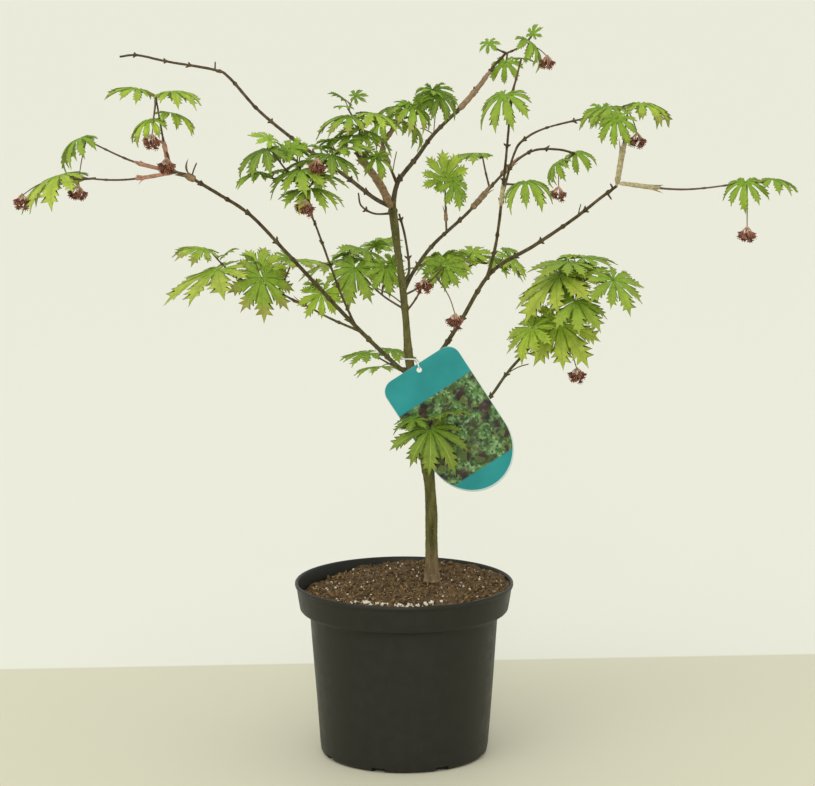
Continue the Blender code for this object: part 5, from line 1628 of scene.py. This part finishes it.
class MAPLE_OT_label(bpy.types.Operator):
    """Plant label: a bowed plastic plate with a plain leafy print, and its tie"""
    bl_idname = "maple.label"
    bl_label = "Label"

    def execute(self, context):
        look = context.scene.label_look
        plate, tie = Heap(), Heap()
        plate.add(*label_plate())
        finishes = [label_print(look.ground), mottled("label_rim", look.rim, 6, 0.06, 0.4, 0.03)]
        made = plate.make("hanging_label", finishes, "label_plastic", ["plant_label"])
        made.data.set_sharp_from_angle(angle=math.radians(60))
        loop = np.array(TIE_LOOP + TIE_LOOP[:1], float)
        padded = np.vstack([loop[-2], loop, loop[1]])
        way = smooth_way(padded, 0.8)
        begin = np.argmin(np.linalg.norm(way - loop[0], axis=1))
        way = way[begin:begin + int(len(way) * len(loop) / (len(padded) + 1))]
        tie.add(tube(way, TIE_RADIUS, 12))
        tie.make("white_tie", [mottled("tie_plastic", TIE_COLOR, 4, 0.08, 0.4, 0.05)], "tie_plastic",
                 ["label_tie"])
        return {"FINISHED"}


def lay_floor(look):
    """A wide round floor: rings whose radius grows with the square of their number."""
    ring = np.linspace(0.05, 1, FLOOR_RINGS)[:, None] ** 2 * FLOOR_REACH
    points = np.vstack([about_z(ring, full_turn(FLOOR_AROUND)).reshape(-1, 3), [[0, 0, 0]]])
    first = np.arange(FLOOR_AROUND)
    middle = np.stack([np.full(FLOOR_AROUND, FLOOR_RINGS * FLOOR_AROUND), first, np.roll(first, -1)], 1)
    rings = grid_faces(FLOOR_RINGS, FLOOR_AROUND, True)[:, ::-1]
    mesh = simple_mesh("floor", points, np.vstack([rings, middle]))
    mesh.materials.append(floor_paint(look.floor, look.beyond))
    placed("floor", mesh)


def light(data, spot):
    """A lamp at a place, aimed at the plant."""
    lamp = placed(data.name, data)
    lamp.location = np.array(spot) * MM
    lamp.rotation_euler = Vector(np.array(LIGHTS_AIM) - spot).to_track_quat("-Z", "Y").to_euler()


class MAPLE_OT_stage(bpy.types.Operator):
    """Pale floor, soft studio light and the camera"""
    bl_idname = "maple.stage"
    bl_label = "Stage"

    def execute(self, context):
        look, scene = context.scene.stage_look, context.scene
        lay_floor(look)
        camera = bpy.data.cameras.new("view")
        camera.lens = CAMERA_LENS
        camera.sensor_width = 36
        camera.clip_end = 200
        scene.camera = placed("view", camera)
        scene.camera.location = np.array(CAMERA_PLACE) * MM
        scene.camera.rotation_euler = (math.radians(90 - CAMERA_DIP), 0, 0)
        scene.world = bpy.data.worlds.new("studio")
        scene.world.use_nodes = True
        sky = scene.world.node_tree.nodes["Background"].inputs
        sky["Color"].default_value = (1.0, 1.0, 0.97, 1)
        sky["Strength"].default_value = look.sky
        scene.view_settings.view_transform = "Standard"
        key = bpy.data.lights.new("key", "SUN")
        key.energy = look.sun
        key.angle = math.radians(KEY_ANGLE)
        light(key, KEY_PLACE)
        strip = bpy.data.lights.new("strip", "AREA")
        strip.shape = "RECTANGLE"
        strip.size, strip.size_y = STRIP_SIZE
        strip.energy = STRIP_POWER
        light(strip, STRIP_PLACE)
        return {"FINISHED"}


class MAPLE_PT_panel(bpy.types.Panel):
    """Buttons and settings for the maple"""
    bl_label = "Potted maple"
    bl_space_type = "VIEW_3D"
    bl_region_type = "UI"
    bl_category = "Maple"

    def draw(self, context):
        for kind in OPERATORS:
            self.layout.operator(kind.bl_idname)
        for name in LOOKS:
            group, column = getattr(context.scene, name), self.layout.column()
            for key in group.bl_rna.properties.keys():
                if key not in ("rna_type", "name"):
                    column.prop(group, key)


OPERATORS = (MAPLE_OT_stage, MAPLE_OT_pot, MAPLE_OT_soil, MAPLE_OT_bark, MAPLE_OT_foliage, MAPLE_OT_sheaths,
             MAPLE_OT_blossom, MAPLE_OT_label)
LOOKS = {"plant_look": PlantLook, "pot_look": PotLook, "label_look": LabelLook, "stage_look": StageLook}


def register():
    for kind in (*LOOKS.values(), *OPERATORS, MAPLE_PT_panel):
        bpy.utils.register_class(kind)
    for name, kind in LOOKS.items():
        setattr(bpy.types.Scene, name, bpy.props.PointerProperty(type=kind))


def unregister():
    for name in LOOKS:
        delattr(bpy.types.Scene, name)
    for kind in reversed((*LOOKS.values(), *OPERATORS, MAPLE_PT_panel)):
        bpy.utils.unregister_class(kind)


def main():
    register()
    bpy.ops.maple.stage()
    bpy.ops.maple.pot()
    bpy.ops.maple.soil()
    bpy.ops.maple.bark()
    bpy.ops.maple.foliage()
    bpy.ops.maple.sheaths()
    bpy.ops.maple.blossom()
    bpy.ops.maple.label()


if __name__ == "__main__":
    main()
